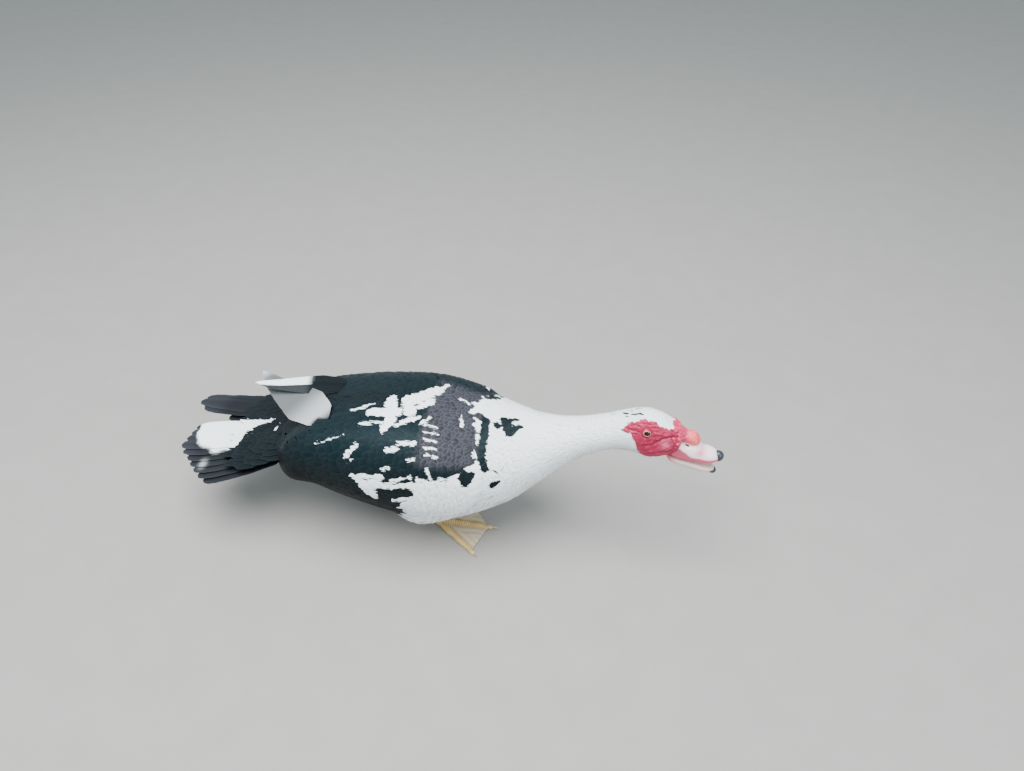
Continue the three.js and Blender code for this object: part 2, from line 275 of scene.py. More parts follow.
def sample(rows, column, x):
    """A smooth curve through one column of a table, read at x."""
    places = rows[:, 0]
    values = rows[:, column]
    last = len(places) - 1
    i = np.clip(np.searchsorted(places, x) - 1, 0, last - 1)
    before = np.maximum(i - 1, 0)
    after = np.minimum(i + 2, last)
    span = places[i + 1] - places[i]
    slope_from = (values[i + 1] - values[before]) / (places[i + 1] - places[before])
    slope_to = (values[after] - values[i]) / (places[after] - places[i])
    t = np.clip((x - places[i]) / span, 0, 1)
    rise = 3 * t ** 2 - 2 * t ** 3
    bow = (t ** 3 - 2 * t ** 2 + t) * slope_from + (t ** 3 - t ** 2) * slope_to
    return values[i] + (values[i + 1] - values[i]) * rise + span * bow


def ease(low, high, value):
    """0 below low and 1 above high, smooth between them."""
    t = np.clip((value - low) / (high - low), 0, 1)
    return t * t * (3 - 2 * t)


def table(pairs):
    """A function that reads straight lines between pairs of place and value."""
    places, values = zip(*pairs)
    return lambda x: np.interp(x, places, values)


def outline(rows, s, degrees, outward):
    """Points on the outline of a form, moved outward by an amount, in the drake's frame."""
    ahead = sample(rows, middle_column, s + slope_reach)
    behind = sample(rows, middle_column, s - slope_reach)
    tilt = np.arctan((ahead - behind) / (2 * slope_reach))
    power = 2 / sample(rows, power_column, s)
    across = np.sin(np.radians(degrees))
    upward = np.cos(np.radians(degrees))
    height = np.where(upward > 0, sample(rows, above_column, s), sample(rows, below_column, s)) + outward
    rise = np.sign(upward) * np.abs(upward) ** power * height
    y = np.sign(across) * np.abs(across) ** power * (sample(rows, width_column, s) + outward)
    z = sample(rows, middle_column, s) + np.cos(tilt) * rise
    return np.stack([s - np.sin(tilt) * rise, y, z], -1)


def girth_radius(s):
    """The radius of a circle about as long as the way round the body at s."""
    columns = (width_column, above_column, below_column)
    width, above, below = [sample(body_rows, column, s) for column in columns]
    return width * 0.5 + above * 0.25 + below * 0.25


def to_frame(points):
    """Millimetres in the drake's frame as metres in the shared frame."""
    return points * mm + np.array([frame_shift, 0, 0])


lattice_size = 16
lattice = random.random((lattice_size,) * 3) * 2 - 1


def grain(points, size):
    """Smooth random values from -1 to 1 that change over a distance of about size."""
    scaled = points / size
    cell = np.floor(scaled).astype(int)
    t = scaled - cell
    t = t * t * (3 - 2 * t)
    total = np.zeros(points.shape[:-1])
    for corner in np.ndindex(2, 2, 2):
        weight = np.ones(points.shape[:-1])
        for axis in range(3):
            weight = weight * (t[..., axis] if corner[axis] else 1 - t[..., axis])
        x, y, z = [(cell[..., axis] + corner[axis]) % lattice_size for axis in range(3)]
        total += weight * lattice[x, y, z]
    return total


print("girth at the wings", round(2 * math.pi * float(girth_radius(-40))), "mm")

# %% [markdown]
# Two things stand out of the plain body: each folded wing, a shallow shell over the side, and each
# thigh, a soft bulge under it. The wing rises softly out of the back and is thickest at its rear
# corner, where it hangs clear of the narrowing body. Its lower edge is abrupt, and a feather on it
# carries on past the edge, as real ones do, so the wing casts a shadow on the flank.

# %% Wings and thighs
thigh_bulges = [
    {"side": right, "s": -30, "angle": 148, "height": 16, "long": 30, "wide": 18},
    {"side": right, "s": -48, "angle": 153, "height": 7, "long": 16, "wide": 12},
    {"side": left, "s": -80, "angle": 150, "height": 19, "long": 32, "wide": 17},
    {"side": left, "s": -126, "angle": 152, "height": 33, "long": 22, "wide": 11}]
wing_lay_rear, wing_lay_front = -230, 68
wing_overhang = 0.06


def thigh_relief(s, degrees):
    total = np.zeros(np.broadcast(s, degrees).shape)
    for bulge in thigh_bulges:
        along = (s - bulge["s"]) / bulge["long"]
        around = (degrees * bulge["side"] - bulge["angle"]) / bulge["wide"]
        total += bulge["height"] * np.exp(-(along ** 2 + around ** 2) / 2)
    return total


def wing_share(s, degrees):
    """How far down the wing a place is: 0 at its top edge and 1 at its bottom edge."""
    top = sample(wing_rows, wing_top_column, s)
    return (np.abs(degrees) - top) / (sample(wing_rows, wing_bottom_column, s) - top)


def wing_relief(s, degrees, overhang=0.0):
    """Height of the folded wing over the plain body, kept up past its lower edge by an overhang."""
    share = np.minimum(wing_share(s, degrees), 1 - overhang)
    between_ends = (s > wing_rows[0, 0]) & (s < wing_rows[-1, 0])
    lower = np.sqrt(np.clip(1 - (2 * np.maximum(share, 0.5) - 1) ** 4, 0, 1))
    thickness = sample(wing_rows, wing_thickness_column, s)
    return np.where(between_ends, thickness * ease(-0.02, 0.34, share) * lower, 0)


def on_body(s, degrees, lift):
    return outline(body_rows, s, degrees, thigh_relief(s, degrees) + lift)


def on_wing(s, degrees, lift):
    thick = wing_relief(np.clip(s, wing_lay_rear, wing_lay_front), degrees, wing_overhang)
    return outline(body_rows, s, degrees, thick + lift)


# %% [markdown]
# The bare red face reaches from the bill to a point behind the eye. Its upper and lower edges are
# read from two short tables, in degrees round the head, and the feathers leave that patch free. On
# the left side, which the photograph hides, the crown's feathers come further down.

# %% The face patch
brow_line = table([(232, 52), (236, 50), (244, 39), (253, 31), (260, 27), (268, 27), (274, 32),
                   (280, 38), (284, 36), (288, 24), (292, 10), (296, 0)])
cheek_line = table([(232, 52), (236, 54), (241, 60), (247, 66), (252, 90), (256, 118), (265, 136),
                    (276, 150), (286, 158), (296, 180)])
left_brow_drop = 30


def face_top(s, degrees):
    return brow_line(s) + np.where(degrees > 0, left_brow_drop, 0) * (1 - ease(280, 292, s))


def face_share(s, degrees):
    """1 on bare red skin and 0 among feathers."""
    away = np.abs(degrees)
    wander = 2.5 * np.sin(s * 0.55 + away * 0.11) + 1.5 * np.sin(s * 1.3 + degrees * 0.23)
    inside = np.minimum(away - face_top(s, degrees), cheek_line(s) - away) + wander
    return ease(-2, 2, inside) * ease(234, 237, s)


# %% [markdown]
# Muscovies of this kind are pied. White covers the head, neck, breast and belly, and greenish
# black the back, wings and tail, with white streaks and patches where single feathers are white.
# Each mark is a rounded streak between two places on the body, given as distance and angle. The
# left side carries the right side's marks, moved a little. The same marks colour the skin and the
# feathers, so nothing shows through in the wrong colour.

# %% The pied pattern
white_front = table([(0, 45), (15, 50), (30, 66), (41, 70), (53, 66), (62, 50), (66, 36), (74, 16),
                     (78, -10), (84, -27), (92, -36), (100, -40), (120, -50), (150, -66), (180, -80)])
white_streaks = [
    ((-93, -19), (-56, -17), 7), ((-72, -4), (-62, -28), 8), ((-68, -33), (-60, -28), 6),
    ((-124, -17), (-96, -9), 1.9), ((-103, -31), (-63, -28), 1.9),
    ((-50, -3), (-38, -16), 8), ((-46, -4), (-14, 12), 9), ((-14, 12), (-2, 22), 2.8),
    ((-28, -8), (-16, -2), 6), ((-51, -30), (-26, -21), 3.6), ((-19, -26), (-10, -19), 2.2),
    ((-41, -44), (-20, -43), 2.5), ((-57, -51), (-44, -48), 2.5), ((-27, -56), (-18, -55), 1.5),
    ((-115, -60), (-100, -49), 2.6), ((-110, -65), (-106, -61), 1.4), ((-63, -66), (-51, -64), 1.7),
    ((-102, -76), (-62, -72), 2.8), ((-93, -77), (-76, -91), 7), ((-88, -82), (-68, -79), 7),
    ((-75, -81), (-20, -77), 4.2), ((-20, -77), (16, -75), 6), ((-50, -75), (-22, -69), 2),
    ((-13, -71), (4, -74), 2.4), ((-2, -62), (6, -71), 1.8), ((17, -69), (35, -71), 2.4),
    ((-48, -93), (-32, -90), 2.4), ((32, -10), (38, -22), 1.6), ((24, 8), (40, 3), 1.8)]
for row in range(5):
    white_streaks.append(((-12 + 2 * row, -26 - 6.2 * row), (4 + 2 * row, -27 - 6.2 * row), 1.5))
for row in range(3):
    white_streaks.append(((-158 + 10 * row, -53 + 3 * row), (-142 + 10 * row, -48 + 3 * row), 0.9))
dark_spots = [
    ((47, -74), (51, -68), 7), ((42, -70), (46, -64), 4.5), ((77, -87), (81, -85), 5.5),
    ((66, -53), (71, -65), 6.5), ((87, -17), (90, -19), 5.5), ((99, -9), (106, -28), 7.5),
    ((106, -28), (117, -18), 6), ((104, -8), (112, -6), 5), ((57, -9), (70, -14), 6),
    ((70, -14), (70, -34), 7), ((70, -34), (66, -54), 6.5), ((60, 20), (74, 30), 6),
    ((76, 42), (84, 50), 6)]
grey_spots = [((82, -70), (88, -76), 3), ((90, -66), (94, -72), 2.4)]
pale_ovals = [((57, -15), (59, -24), 2.6), ((60, -30), (61, -38), 2.2), ((57, -45), (58, -52), 2.4)]
crown_flecks = [((238, 4), (243, -3), 1.7), ((247, 4), (249, 8), 1.3), ((249, -9), (253, -10), 1.8),
                ((256, -7), (259, -11), 1.5), ((252, 12), (255, 16), 1.2),
                ((241, -12), (245, -14), 1.2)]
left_side_from, left_side_shift = 45, 9
left_side_turn, left_side_drop = 0.97, 2


def streaks(s, degrees, marks, soft=3.0, mm_per_degree=1.6):
    """1 inside any of the marks, each a rounded streak, and an even slope across its edge."""
    found = np.zeros(s.shape)
    for start, end, half_width in marks:
        along = np.array([end[0] - start[0], (end[1] - start[1]) * mm_per_degree])
        from_start = np.stack([s - start[0], (degrees - start[1]) * mm_per_degree], -1)
        t = np.clip(from_start @ along / (along @ along), 0, 1)
        distance = np.linalg.norm(from_start - t[..., None] * along, axis=-1)
        found = np.maximum(found, np.clip(0.5 + (half_width - distance) / (2 * soft), 0, 1))
    return found


def plumage(s, degrees):
    """White, the green share (mostly a painted sheen) and scaled mantle, each from 0 to 1, at places on
    the body.
    """
    far = degrees > left_side_from
    s_mark = np.where(far, s + left_side_shift, s)
    turned = np.where(far, -degrees * left_side_turn - left_side_drop, degrees)
    away = np.abs(turned)
    edge = white_front(away) + 4 * np.sin(away * 0.33 + s_mark * 0.07) + 3 * np.sin(away * 0.9)
    white = np.clip(0.5 + (s_mark - edge) / 6, 0, 1)
    barbs = 2.6 * np.abs(np.sin(turned * 1.5 + 0.6 * np.sin(s_mark * 0.13)))
    white = np.maximum(white, streaks(s_mark + barbs, turned, white_streaks))
    dark = streaks(s_mark, turned, dark_spots)
    white = np.minimum(white, 1 - dark)
    white = np.minimum(white, 1 - 0.55 * streaks(s_mark, turned, grey_spots))
    white = np.maximum(white, streaks(s_mark, turned, pale_ovals))
    fleck = streaks(s, degrees, crown_flecks, 0.5, mm_per_degree=0.5)
    white = white * (1 - 0.8 * fleck)
    mantle = ease(-24, -10, s_mark) * (1 - ease(58, 66, s_mark))
    mantle = mantle * (1 - ease(56, 64, away)) * ease(-34, -20, -turned)
    # Painted sheen: the green is strongest in a band about 40 degrees down each side, where the light
    # from above catches it, and fades toward the tail.
    painted_sheen_band = 0.5 + 0.5 * np.cos(np.radians((away - 40) * 2.4))
    gloss_and_painted_sheen = np.clip(painted_sheen_band - 0.4 * ease(-150, -220, s), 0, 1)
    return np.stack([white, gloss_and_painted_sheen * (1 - mantle), mantle], -1)


# %% [markdown]
# Every form here is a sheet wrapped round: one operator makes a flat grid, its corners move to
# where a function says, and the doubled seam and the drawn-together ends are merged. Each corner
# keeps its place on the flat sheet in two attributes, which later colouring reads.

# %% Wrapped forms
def set_points(mesh, points):
    mesh.vertices.foreach_set("co", np.asarray(points, np.float32).ravel())
    mesh.update()


def points_of(mesh):
    points = np.zeros(len(mesh.vertices) * 3, np.float32)
    mesh.vertices.foreach_get("co", points)
    return points.reshape(-1, 3).astype(float)


def drake_points(piece):
    """A piece's corners in millimetres in the drake's own frame."""
    return points_of(piece.data) / mm - np.array([frame_shift / mm, 0, 0])


def read(mesh, name):
    values = np.zeros(len(mesh.vertices), np.float32)
    mesh.attributes[name].data.foreach_get("value", values)
    return values.astype(float)


def write_colour(mesh, name, colours):
    layer = mesh.color_attributes.new(name, "FLOAT_COLOR", "POINT")
    opaque = np.concatenate([colours, np.ones(colours.shape[:-1] + (1,))], -1)
    layer.data.foreach_set("color", opaque.astype(np.float32).ravel())


def write_value(mesh, name, values):
    layer = mesh.attributes.new(name, "FLOAT", "POINT")
    layer.data.foreach_set("value", values.astype(np.float32))


def wrap(name, along, around, place, ends_closed=True):
    """A closed form whose corners lie where place(u, v) says, with u and v from 0 to 1."""
    bm = bmesh.new()
    bmesh.ops.create_grid(bm, x_segments=along, y_segments=around, size=0.5)
    u_layer = bm.verts.layers.float.new("u")
    v_layer = bm.verts.layers.float.new("v")
    flat = np.array([vert.co for vert in bm.verts])
    u = np.round(flat[:, 0] + 0.5, 6)
    v = np.round(flat[:, 1] + 0.5, 6)
    points = place(u, v % 1)
    if ends_closed:
        for end in (0, 1):
            at_end = u == end
            points[at_end] = points[at_end].mean(0)
    for vert, point, u_here, v_here in zip(bm.verts, to_frame(points), u, v):
        vert.co = point
        vert[u_layer] = u_here
        vert[v_layer] = v_here
    bmesh.ops.remove_doubles(bm, verts=bm.verts, dist=1e-6)
    bmesh.ops.recalc_face_normals(bm, faces=bm.faces)
    return piece_of(name, bm)


def finished(piece, finish, slot, *replaced):
    """Gives a piece its finish and body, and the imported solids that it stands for."""
    piece.data.materials.clear()
    piece.data.materials.append(finish.material)
    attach(piece, "root")
    if replaced:
        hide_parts(*replaced)
    triangles = sum(len(face.vertices) - 2 for face in piece.data.polygons)
    print(piece.name, triangles, "triangles")


# %% [markdown]
# One skin runs from the rump to the base of the bill, with no seam. It lies a coat's depth inside
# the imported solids: deepest on the body, thin on the neck and crown, and nothing on the bare face.
# Rings crowd together on the head, where the wrinkles need them. The folds of the face are ridges
# of smooth noise, a brow and a cheek are wide bulges, and a hollow takes the eye.

# %% Skin
coat_depth = table([(-246, 4), (-215, 6), (75, 6), (128, 4.5), (200, 3), (240, 2), (262, 1.6),
                    (308, 1)])
ring_shares, ring_places = [0, 0.2, 0.34, 1], [tail_end, 128, 232, face_end]
eye_places = {"right": np.array([eye_x, -20.5, 220.0]), "left": np.array([eye_x, 20.5, 220.0])}
eye_radius = 6.6
mouth_corner = np.array([292, 181])
mouth_top, mouth_bottom = np.array([330, 173]), np.array([330, 162])


def creases(s, degrees):
    """1 along the folds of the face: one runs from below the eye forward to the knob."""
    folds = [((262, -96), (274, -90), 0.8), ((274, -90), (281, -75), 1.3),
             ((281, -75), (288, -58), 1.5), ((288, -58), (298, -39), 1.2),
             ((270, -118), (288, -104), 0.8), ((288, -104), (300, -98), 1.0),
             ((246, -52), (256, -62), 0.7)]
    return streaks(s, -np.abs(degrees), folds, 1.0, mm_per_degree=0.45)


def face_folds(s, degrees, points):
    """Height of the wrinkles and bulges of bare skin, in millimetres."""
    bare = face_share(s, degrees)
    long_way = points * np.array([0.6, 1.0, 1.5])
    ridges = 1 - 2 * np.abs(grain(long_way, 4.6))
    fine = 1 - 2 * np.abs(grain(long_way + 40, 2.3))
    beads = np.clip(grain(points + 90, 3.0), 0, 1)
    away = np.abs(degrees)
    brow = 1.3 * np.exp(-((s - 266) / 10) ** 2 - ((away - face_top(s, degrees) - 7) / 6) ** 2)
    cheek = 2.0 * np.exp(-((s - 281) / 11) ** 2 - ((away - 112) / 22) ** 2)
    lore = np.exp(-((s - 288) / 6) ** 2 - ((away - 80) / 14) ** 2)
    rim = 0.6 * np.exp(-((away - face_top(s, degrees) - 4) / 4) ** 2) * (s > 236)
    wrinkles = 0.6 * ridges + 0.35 * fine + (0.8 + 1.2 * lore) * beads - 1.5 * creases(s, degrees)
    calm = ease(6.4, 10.0, from_eye(points))
    return bare * (wrinkles * calm + brow + cheek + rim)


def from_eye(points):
    """Distance of each place from the middle of the nearer eye."""
    return np.minimum(*[np.linalg.norm(points - place, axis=-1) for place in eye_places.values()])


def eye_hollow(points):
    """How far a place is pressed in around the eyes, 0 to 1."""
    return 1 - ease(eye_radius * 0.8, eye_radius * 1.05, from_eye(points))


def along_and_round(u, v):
    """Distance along the drake and angle round it, at places on the skin's flat sheet."""
    return np.interp(u, ring_shares, ring_places), v * 360 - 180


def skin_place(u, v):
    s, degrees = along_and_round(u, v)
    bare = face_share(s, degrees)
    depth = coat_depth(s) * (1 - bare)
    plain = outline(body_rows, s, degrees, np.zeros(len(s)))
    lift = wing_relief(s, degrees) + thigh_relief(s, degrees) - depth
    lift = lift + face_folds(s, degrees, plain) - 0.7 * eye_hollow(plain)
    half_height = np.minimum(sample(body_rows, above_column, s), sample(body_rows, below_column, s))
    lift = np.maximum(lift, -0.8 * half_height)
    points = outline(body_rows, s, degrees, lift)
    t = np.clip((points[:, 0] - mouth_corner[0]) / (mouth_top[0] - mouth_corner[0]), 0, 1)
    upper = mouth_corner[1] + (mouth_top[1] - mouth_corner[1]) * t
    lower = mouth_corner[1] + (mouth_bottom[1] - mouth_corner[1]) * t
    middle = (upper + lower) / 2
    half_gap = np.maximum((upper - lower) / 2 + 0.6, 0.6)
    within = 1 - ease(0.2, 1.4, np.abs(points[:, 2] - middle) / half_gap)
    points[:, 1] *= 1 - 0.5 * within * ease(292, 297, points[:, 0])
    return points


skin = wrap("skin", 330, 236, skin_place)
skin_s, skin_degrees = along_and_round(read(skin.data, "u"), read(skin.data, "v"))
skin_points = outline(body_rows, skin_s, skin_degrees, 0.0)
bare_share = face_share(skin_s, skin_degrees)
pinker = (np.exp(-((skin_s - 289) / 5.5) ** 2 - ((np.abs(skin_degrees) - 82) / 11) ** 2)
          + 0.5 * np.exp(-((skin_s - 296) / 5) ** 2 - (skin_degrees / 26) ** 2))
# Painted shade: the low places among the face's folds, and its creases, are marked for a darker red.
painted_fold_shade = np.clip(-(face_folds(skin_s, skin_degrees, skin_points) - 0.7) / 1.6, 0, 1)
painted_fold_shade = np.maximum(painted_fold_shade, creases(skin_s, skin_degrees))
write_colour(skin.data, "plumage", plumage(skin_s, skin_degrees))
face_marks_and_painted_shade = [bare_share, np.clip(pinker, 0, 1), painted_fold_shade * bare_share]
write_colour(skin.data, "face", np.stack(face_marks_and_painted_shade, -1))

# %% [markdown]
# The skin's finish mixes two: the colour of the coat over it, a little darker, and the red of the
# face. The red is pinker in front of the eye, with a mottled, moist surface, and darkens to deep
# crimson in its folds and hollows, which is painted shade. The same red is used for the knob, so
# both come from one function; on the knob the tops of the beads also get a pinker painted highlight.

# %% Finish of the bare skin and the skin under the coat
white_feather = colour(236, 241, 245)
black_feather = colour(18, 20, 23)


def red_of(finish, pinker_share, painted_shade_share):
    blotches = finish.noise(4.0, 4, stretch=(0.5, 1, 1.3)).step(0.36, 0.66)
    red = finish.blend(blotches, colour(146, 0, 50), colour(176, 12, 72))
    red = finish.blend(pinker_share, red, colour(222, 96, 134))
    # Painted shade: folds and hollows are darkened to deep crimson.
    red = finish.blend(painted_shade_share * 0.75, red, colour(108, 0, 36))
    specks = finish.cells(1.3).step(0.6, 0.85)
    return finish.blend(specks * 0.1, red, colour(232, 128, 150))


skin_finish = Finish("skin_finish", 0.5)
bare = skin_finish.attribute("face", "Red")
white = skin_finish.attribute("plumage", "Red").step(0.4, 0.6)
under_coat = skin_finish.blend(white, black_feather, white_feather)
face_red = red_of(skin_finish, skin_finish.attribute("face", "Green"),
                  skin_finish.attribute("face", "Blue"))
skin_finish.feed(Base_Color=skin_finish.blend(bare, under_coat, face_red), Roughness=0.9 - bare * 0.42)
skin_finish.relief(skin_finish.noise(0.9, 4) + skin_finish.cells(1.1) * 0.5, 0.25, 0.6)
finished(skin, skin_finish, "white_feather", "trunk", "neck", "head", "wing_right", "wing_left",
         "thigh_right", "thigh_left")

# %% [markdown]
# The knob over the bill and the beads of skin beside it are soft lumps grown into each other. Balls
# of the right sizes are set together, remeshed into one closed skin, and smoothed, and then small
# ridges are raised on it.

# %% Knob
def ball(bm, middle, half_sizes, tip=0.0, detail=3):
    """Adds a ball stretched to its half sizes, its front tipped down by an angle."""
    made = bmesh.ops.create_icosphere(bm, subdivisions=detail, radius=1.0)["verts"]
    turn = math.radians(tip)
    for vert in made:
        x, y, z = [part * size for part, size in zip(vert.co, half_sizes)]
        x, z = x * math.cos(turn) + z * math.sin(turn), z * math.cos(turn) - x * math.sin(turn)
        vert.co = to_frame(np.array([x, y, z]) + np.array(middle))


def fused(name, bm, voxel_mm, rounds):
    """One closed smooth surface round everything in the mesh."""
    rough = piece_of(name + "_rough", bm, smooth=False)
    remesh = rough.modifiers.new("fuse", "REMESH")
    remesh.mode = "VOXEL"
    remesh.voxel_size = voxel_mm * mm
    evaluated = rough.evaluated_get(bpy.context.evaluated_depsgraph_get())
    smooth = bmesh.new()
    smooth.from_mesh(evaluated.to_mesh())
    for turn in range(rounds):
        bmesh.ops.smooth_vert(smooth, verts=smooth.verts, factor=0.5, use_axis_x=True, use_axis_y=True,
                              use_axis_z=True)
    bpy.data.objects.remove(rough)
    return piece_of(name, smooth)


def raise_surface(mesh, heights):
    """Moves each corner out along its normal by its height in millimetres."""
    normals = np.zeros(len(mesh.vertices) * 3, np.float32)
    mesh.vertex_normals.foreach_get("vector", normals)
    set_points(mesh, points_of(mesh) + normals.reshape(-1, 3) * heights[:, None] * mm)


knob_mesh = bmesh.new()
for middle, half_sizes in [((299, 0, 216), (10, 10.5, 7)), ((309, 0, 208.5), (10.5, 11.2, 8)),
                           ((314, 0, 205), (12, 10.5, 8.5)), ((324.5, 0, 202.5), (12, 10.5, 9))]:
    ball(knob_mesh, middle, half_sizes, 33)
for side in (right, left):
    for bead in range(26):
        s_here = 291 + 15 * random.random()
        angle_here = side * (4 + 60 * random.random())
        middle = outline(body_rows, np.array([s_here]), np.array([angle_here]), -0.3)[0]
        size = 1.5 + 1.6 * random.random()
        ball(knob_mesh, middle, (size * 1.3, size, size), 20, 2)
knob = fused("knob", knob_mesh, 0.6, 3)
knob_points = drake_points(knob)
on_bulb = ease(315, 321, knob_points[:, 0])
in_crease = np.exp(-((knob_points[:, 0] - 315.5) / 1.8) ** 2)
ridges = 1 - 2 * np.abs(grain(knob_points, 3.4))
beads = grain(knob_points + 30, 2.0)
wrinkles = (0.6 - 0.3 * on_bulb) * ridges + (0.55 - 0.3 * on_bulb) * beads - 0.45 * in_crease
raise_surface(knob.data, wrinkles)
# Painted shade in the hollows between ridges and beads and in the crease, and a painted highlight on the
# beads' tops.
knob_painted_shade = np.maximum(np.clip(-ridges - beads, 0, 1) * (1 - on_bulb), 0.3 * in_crease)
write_colour(knob.data, "knob", np.stack([on_bulb, knob_painted_shade, ease(0.2, 0.7, beads)], -1))
knob_finish = Finish("knob_finish", 0.42)
# Painted highlight: the tops of the beads are painted pinker.
knob_painted_highlight = knob_finish.attribute("knob", "Blue") * 0.45
knob_red = red_of(knob_finish, knob_painted_highlight, knob_finish.attribute("knob", "Green"))
knob_red = knob_finish.blend(0.35, knob_red, colour(226, 72, 110))
bulb_patches = knob_finish.noise(6, 3).step(0.35, 0.7)
bulb_red = knob_finish.blend(bulb_patches, colour(228, 70, 88), colour(238, 120, 106))
bulb_share = knob_finish.attribute("knob", "Red") * 0.85
knob_finish.feed(Base_Color=knob_finish.blend(bulb_share, knob_red, bulb_red))
knob_finish.relief(knob_finish.noise(1.0, 4), 0.25, 0.6)
finished(knob, knob_finish, "bare_skin", "caruncle")

# %% [markdown]
# The bill is two long troughs of smooth horn, a little open, each a wrapped form from its own rows.
# The upper one has a slit of a nostril on each side, pressed in, and a dark nail at its hooked tip.
# A drake's bill here is pale pink with a darker pink seam along the lower edge of the upper half.

# %% Bill
upper_bill_rows = np.array([
    (297, 184, 10, 14, 3, 2.4), (302, 182, 15, 19, 4, 2.4), (320, 177, 15, 21, 4, 2.4),
    (336, 174, 13.5, 18, 4, 2.3), (349, 174.5, 13.5, 13.5, 3.5, 2.2), (357, 175, 11, 9.5, 3, 2.2),
    (363, 175.5, 5, 3.5, 3, 2)], float)
lower_bill_rows = np.array([
    (297, 174, 9, 2, 5, 2.4), (303, 171, 13, 3, 7, 2.4), (325, 165, 12.5, 3.5, 10, 2.4),
    (346, 159, 11.5, 3.5, 9.5, 2.3), (354, 156.5, 9, 3.5, 7, 2.2), (359, 154, 4, 2, 3, 2)], float)
nostril_place = np.array([319.5, 195])
crimson_height = table([(300, 195), (311, 192), (318, 187), (325, 181), (335, 178.5), (354, 177),
                        (366, 176)])


def nostril(points):
    """1 in the middle of a nostril's slit and 0 away from it."""
    along = points[..., 0] - nostril_place[0]
    upward = points[..., 2] - nostril_place[1] + along * 0.35
    return np.exp(-(along / 3.9) ** 2 - (upward / 1.5) ** 2)


def bill_marks(points):
    """Crimson along the lower edge, white round the nostril and a pink blotch, each from 0 to 1."""
    x, z = points[:, 0], points[:, 2]
    crimson = ease(1.1, -1.1, z - crimson_height(x) - 0.8 * grain(points, 4))
    white = np.exp(-((x - 315) / 6) ** 2 - ((z - 197) / 4.5) ** 2)
    blotch = np.exp(-((x - 338) / 6) ** 2 - ((z - 187) / 5) ** 2)
    return np.stack([crimson, white * (1 - crimson), blotch], -1)


def bill_place(rows, is_upper):
    def place(u, v):
        ends = rows[0, 0], rows[-1, 0]
        s = np.interp(u - np.sin(2 * np.pi * u) * 0.1, [0, 1], ends)
        degrees = v * 360 - 180
        plain = outline(rows, s, degrees, 0.0)
        away = np.abs(degrees)
        lift = np.zeros(len(s))
        if is_upper:
            palate = ease(300, 308, s) * (1 - ease(352, 362, s))
            lift -= 2.6 * nostril(plain) * (away < 100)
            lift -= 2.0 * np.exp(-((away - 180) / 45) ** 2) * palate
            lift += 0.7 * np.exp(-((away - 96) / 9) ** 2)
        else:
            lift -= 1.0 * np.exp(-(away / 40) ** 2) * ease(306, 312, s) * (1 - ease(350, 358, s))
        return outline(rows, s, degrees, lift)
    return place


def bill_finish(name, is_upper):
    finish = Finish(name, 0.36)
    mottle = finish.noise(9, 4, stretch=(0.5, 1, 1))
    if is_upper:
        horn = finish.blend(mottle, colour(238, 206, 214), colour(246, 228, 230))
        horn = finish.blend(finish.attribute("bill", "Green") * 0.8, horn, colour(240, 234, 222))
        horn = finish.blend(finish.attribute("bill", "Blue") * 0.85, horn, colour(214, 112, 142))
        crimson = finish.mottle(4, 3, (156, 0, 56), (184, 30, 84))
        horn = finish.blend(finish.attribute("bill", "Red") * 0.92, horn, crimson)
        horn = finish.blend(finish.value("nostril").step(0.3, 0.6), horn, colour(58, 20, 26))
    else:
        x = finish.make.node("ShaderNodeSeparateXYZ", {}, {"Vector": finish.place()}, "X")
        near_face = 1 - (x - frame_shift).step(0.298, 0.312)
        horn = finish.blend(mottle, colour(216, 188, 176), colour(232, 208, 206))
        horn = finish.blend(near_face * 0.8, horn, colour(206, 92, 112))
    finish.feed(Base_Color=horn, Roughness=0.3 + finish.noise(4) * 0.2)
    finish.relief(finish.noise(1.6, 4, stretch=(0.4, 1, 1)), 0.12, 0.5)
    return finish


upper_bill = wrap("upper_bill", 110, 96, bill_place(upper_bill_rows, True))
upper_points = drake_points(upper_bill)
write_value(upper_bill.data, "nostril", nostril(upper_points))
write_colour(upper_bill.data, "bill", bill_marks(upper_points))
finished(upper_bill, bill_finish("upper_bill_horn", True), "bill_horn", "bill_upper")
lower_bill = wrap("lower_bill", 90, 80, bill_place(lower_bill_rows, False))
finished(lower_bill, bill_finish("lower_bill_horn", False), "bill_horn", "bill_lower")

nail_finish = Finish("nail_horn", 0.32)
nail_finish.feed(Base_Color=nail_finish.mottle(3, 4, (22, 25, 31), (58, 62, 72)))
nail_finish.relief(nail_finish.noise(0.8, 3), 0.1, 0.4)
for name, middle, half_sizes, tip in [("nail_upper", (361.5, 0, 176), (7.5, 7, 8), 30),
                                      ("nail_lower", (356.5, 0, 152), (6.5, 6.5, 4.6), 20)]:
    nail_mesh = bmesh.new()
    ball(nail_mesh, middle, half_sizes, tip, 4)
    nail = piece_of("bill_" + name, nail_mesh)
    finished(nail, nail_finish, "dark_horn", name)

# %% [markdown]
# An eye is a ball with a pupil and a brown iris under a clear wet coat. The lids are a soft ring
# that lies on the ball and leaves a long opening, lower at the front, as a duck's lids do. They are
# paler than the face, which is what makes the eye stand out in the photograph.

# %% Eyes and lids
pupil_radius, iris_radius = 3.0, 4.2
opening_half_length, opening_half_height = 4.2, 3.0


def eye_axes(side):
    """Directions out of the eye, along the lids and up across them."""
    out = np.array([0.16, side * 0.93, 0.32])
    out = out / np.linalg.norm(out)
    along = np.array([1.0, 0, -0.12])
    along = along - out * (along @ out)
    along = along / np.linalg.norm(along)
    up = np.cross(along, out) * side
    return out, along, up * np.sign(up[2])


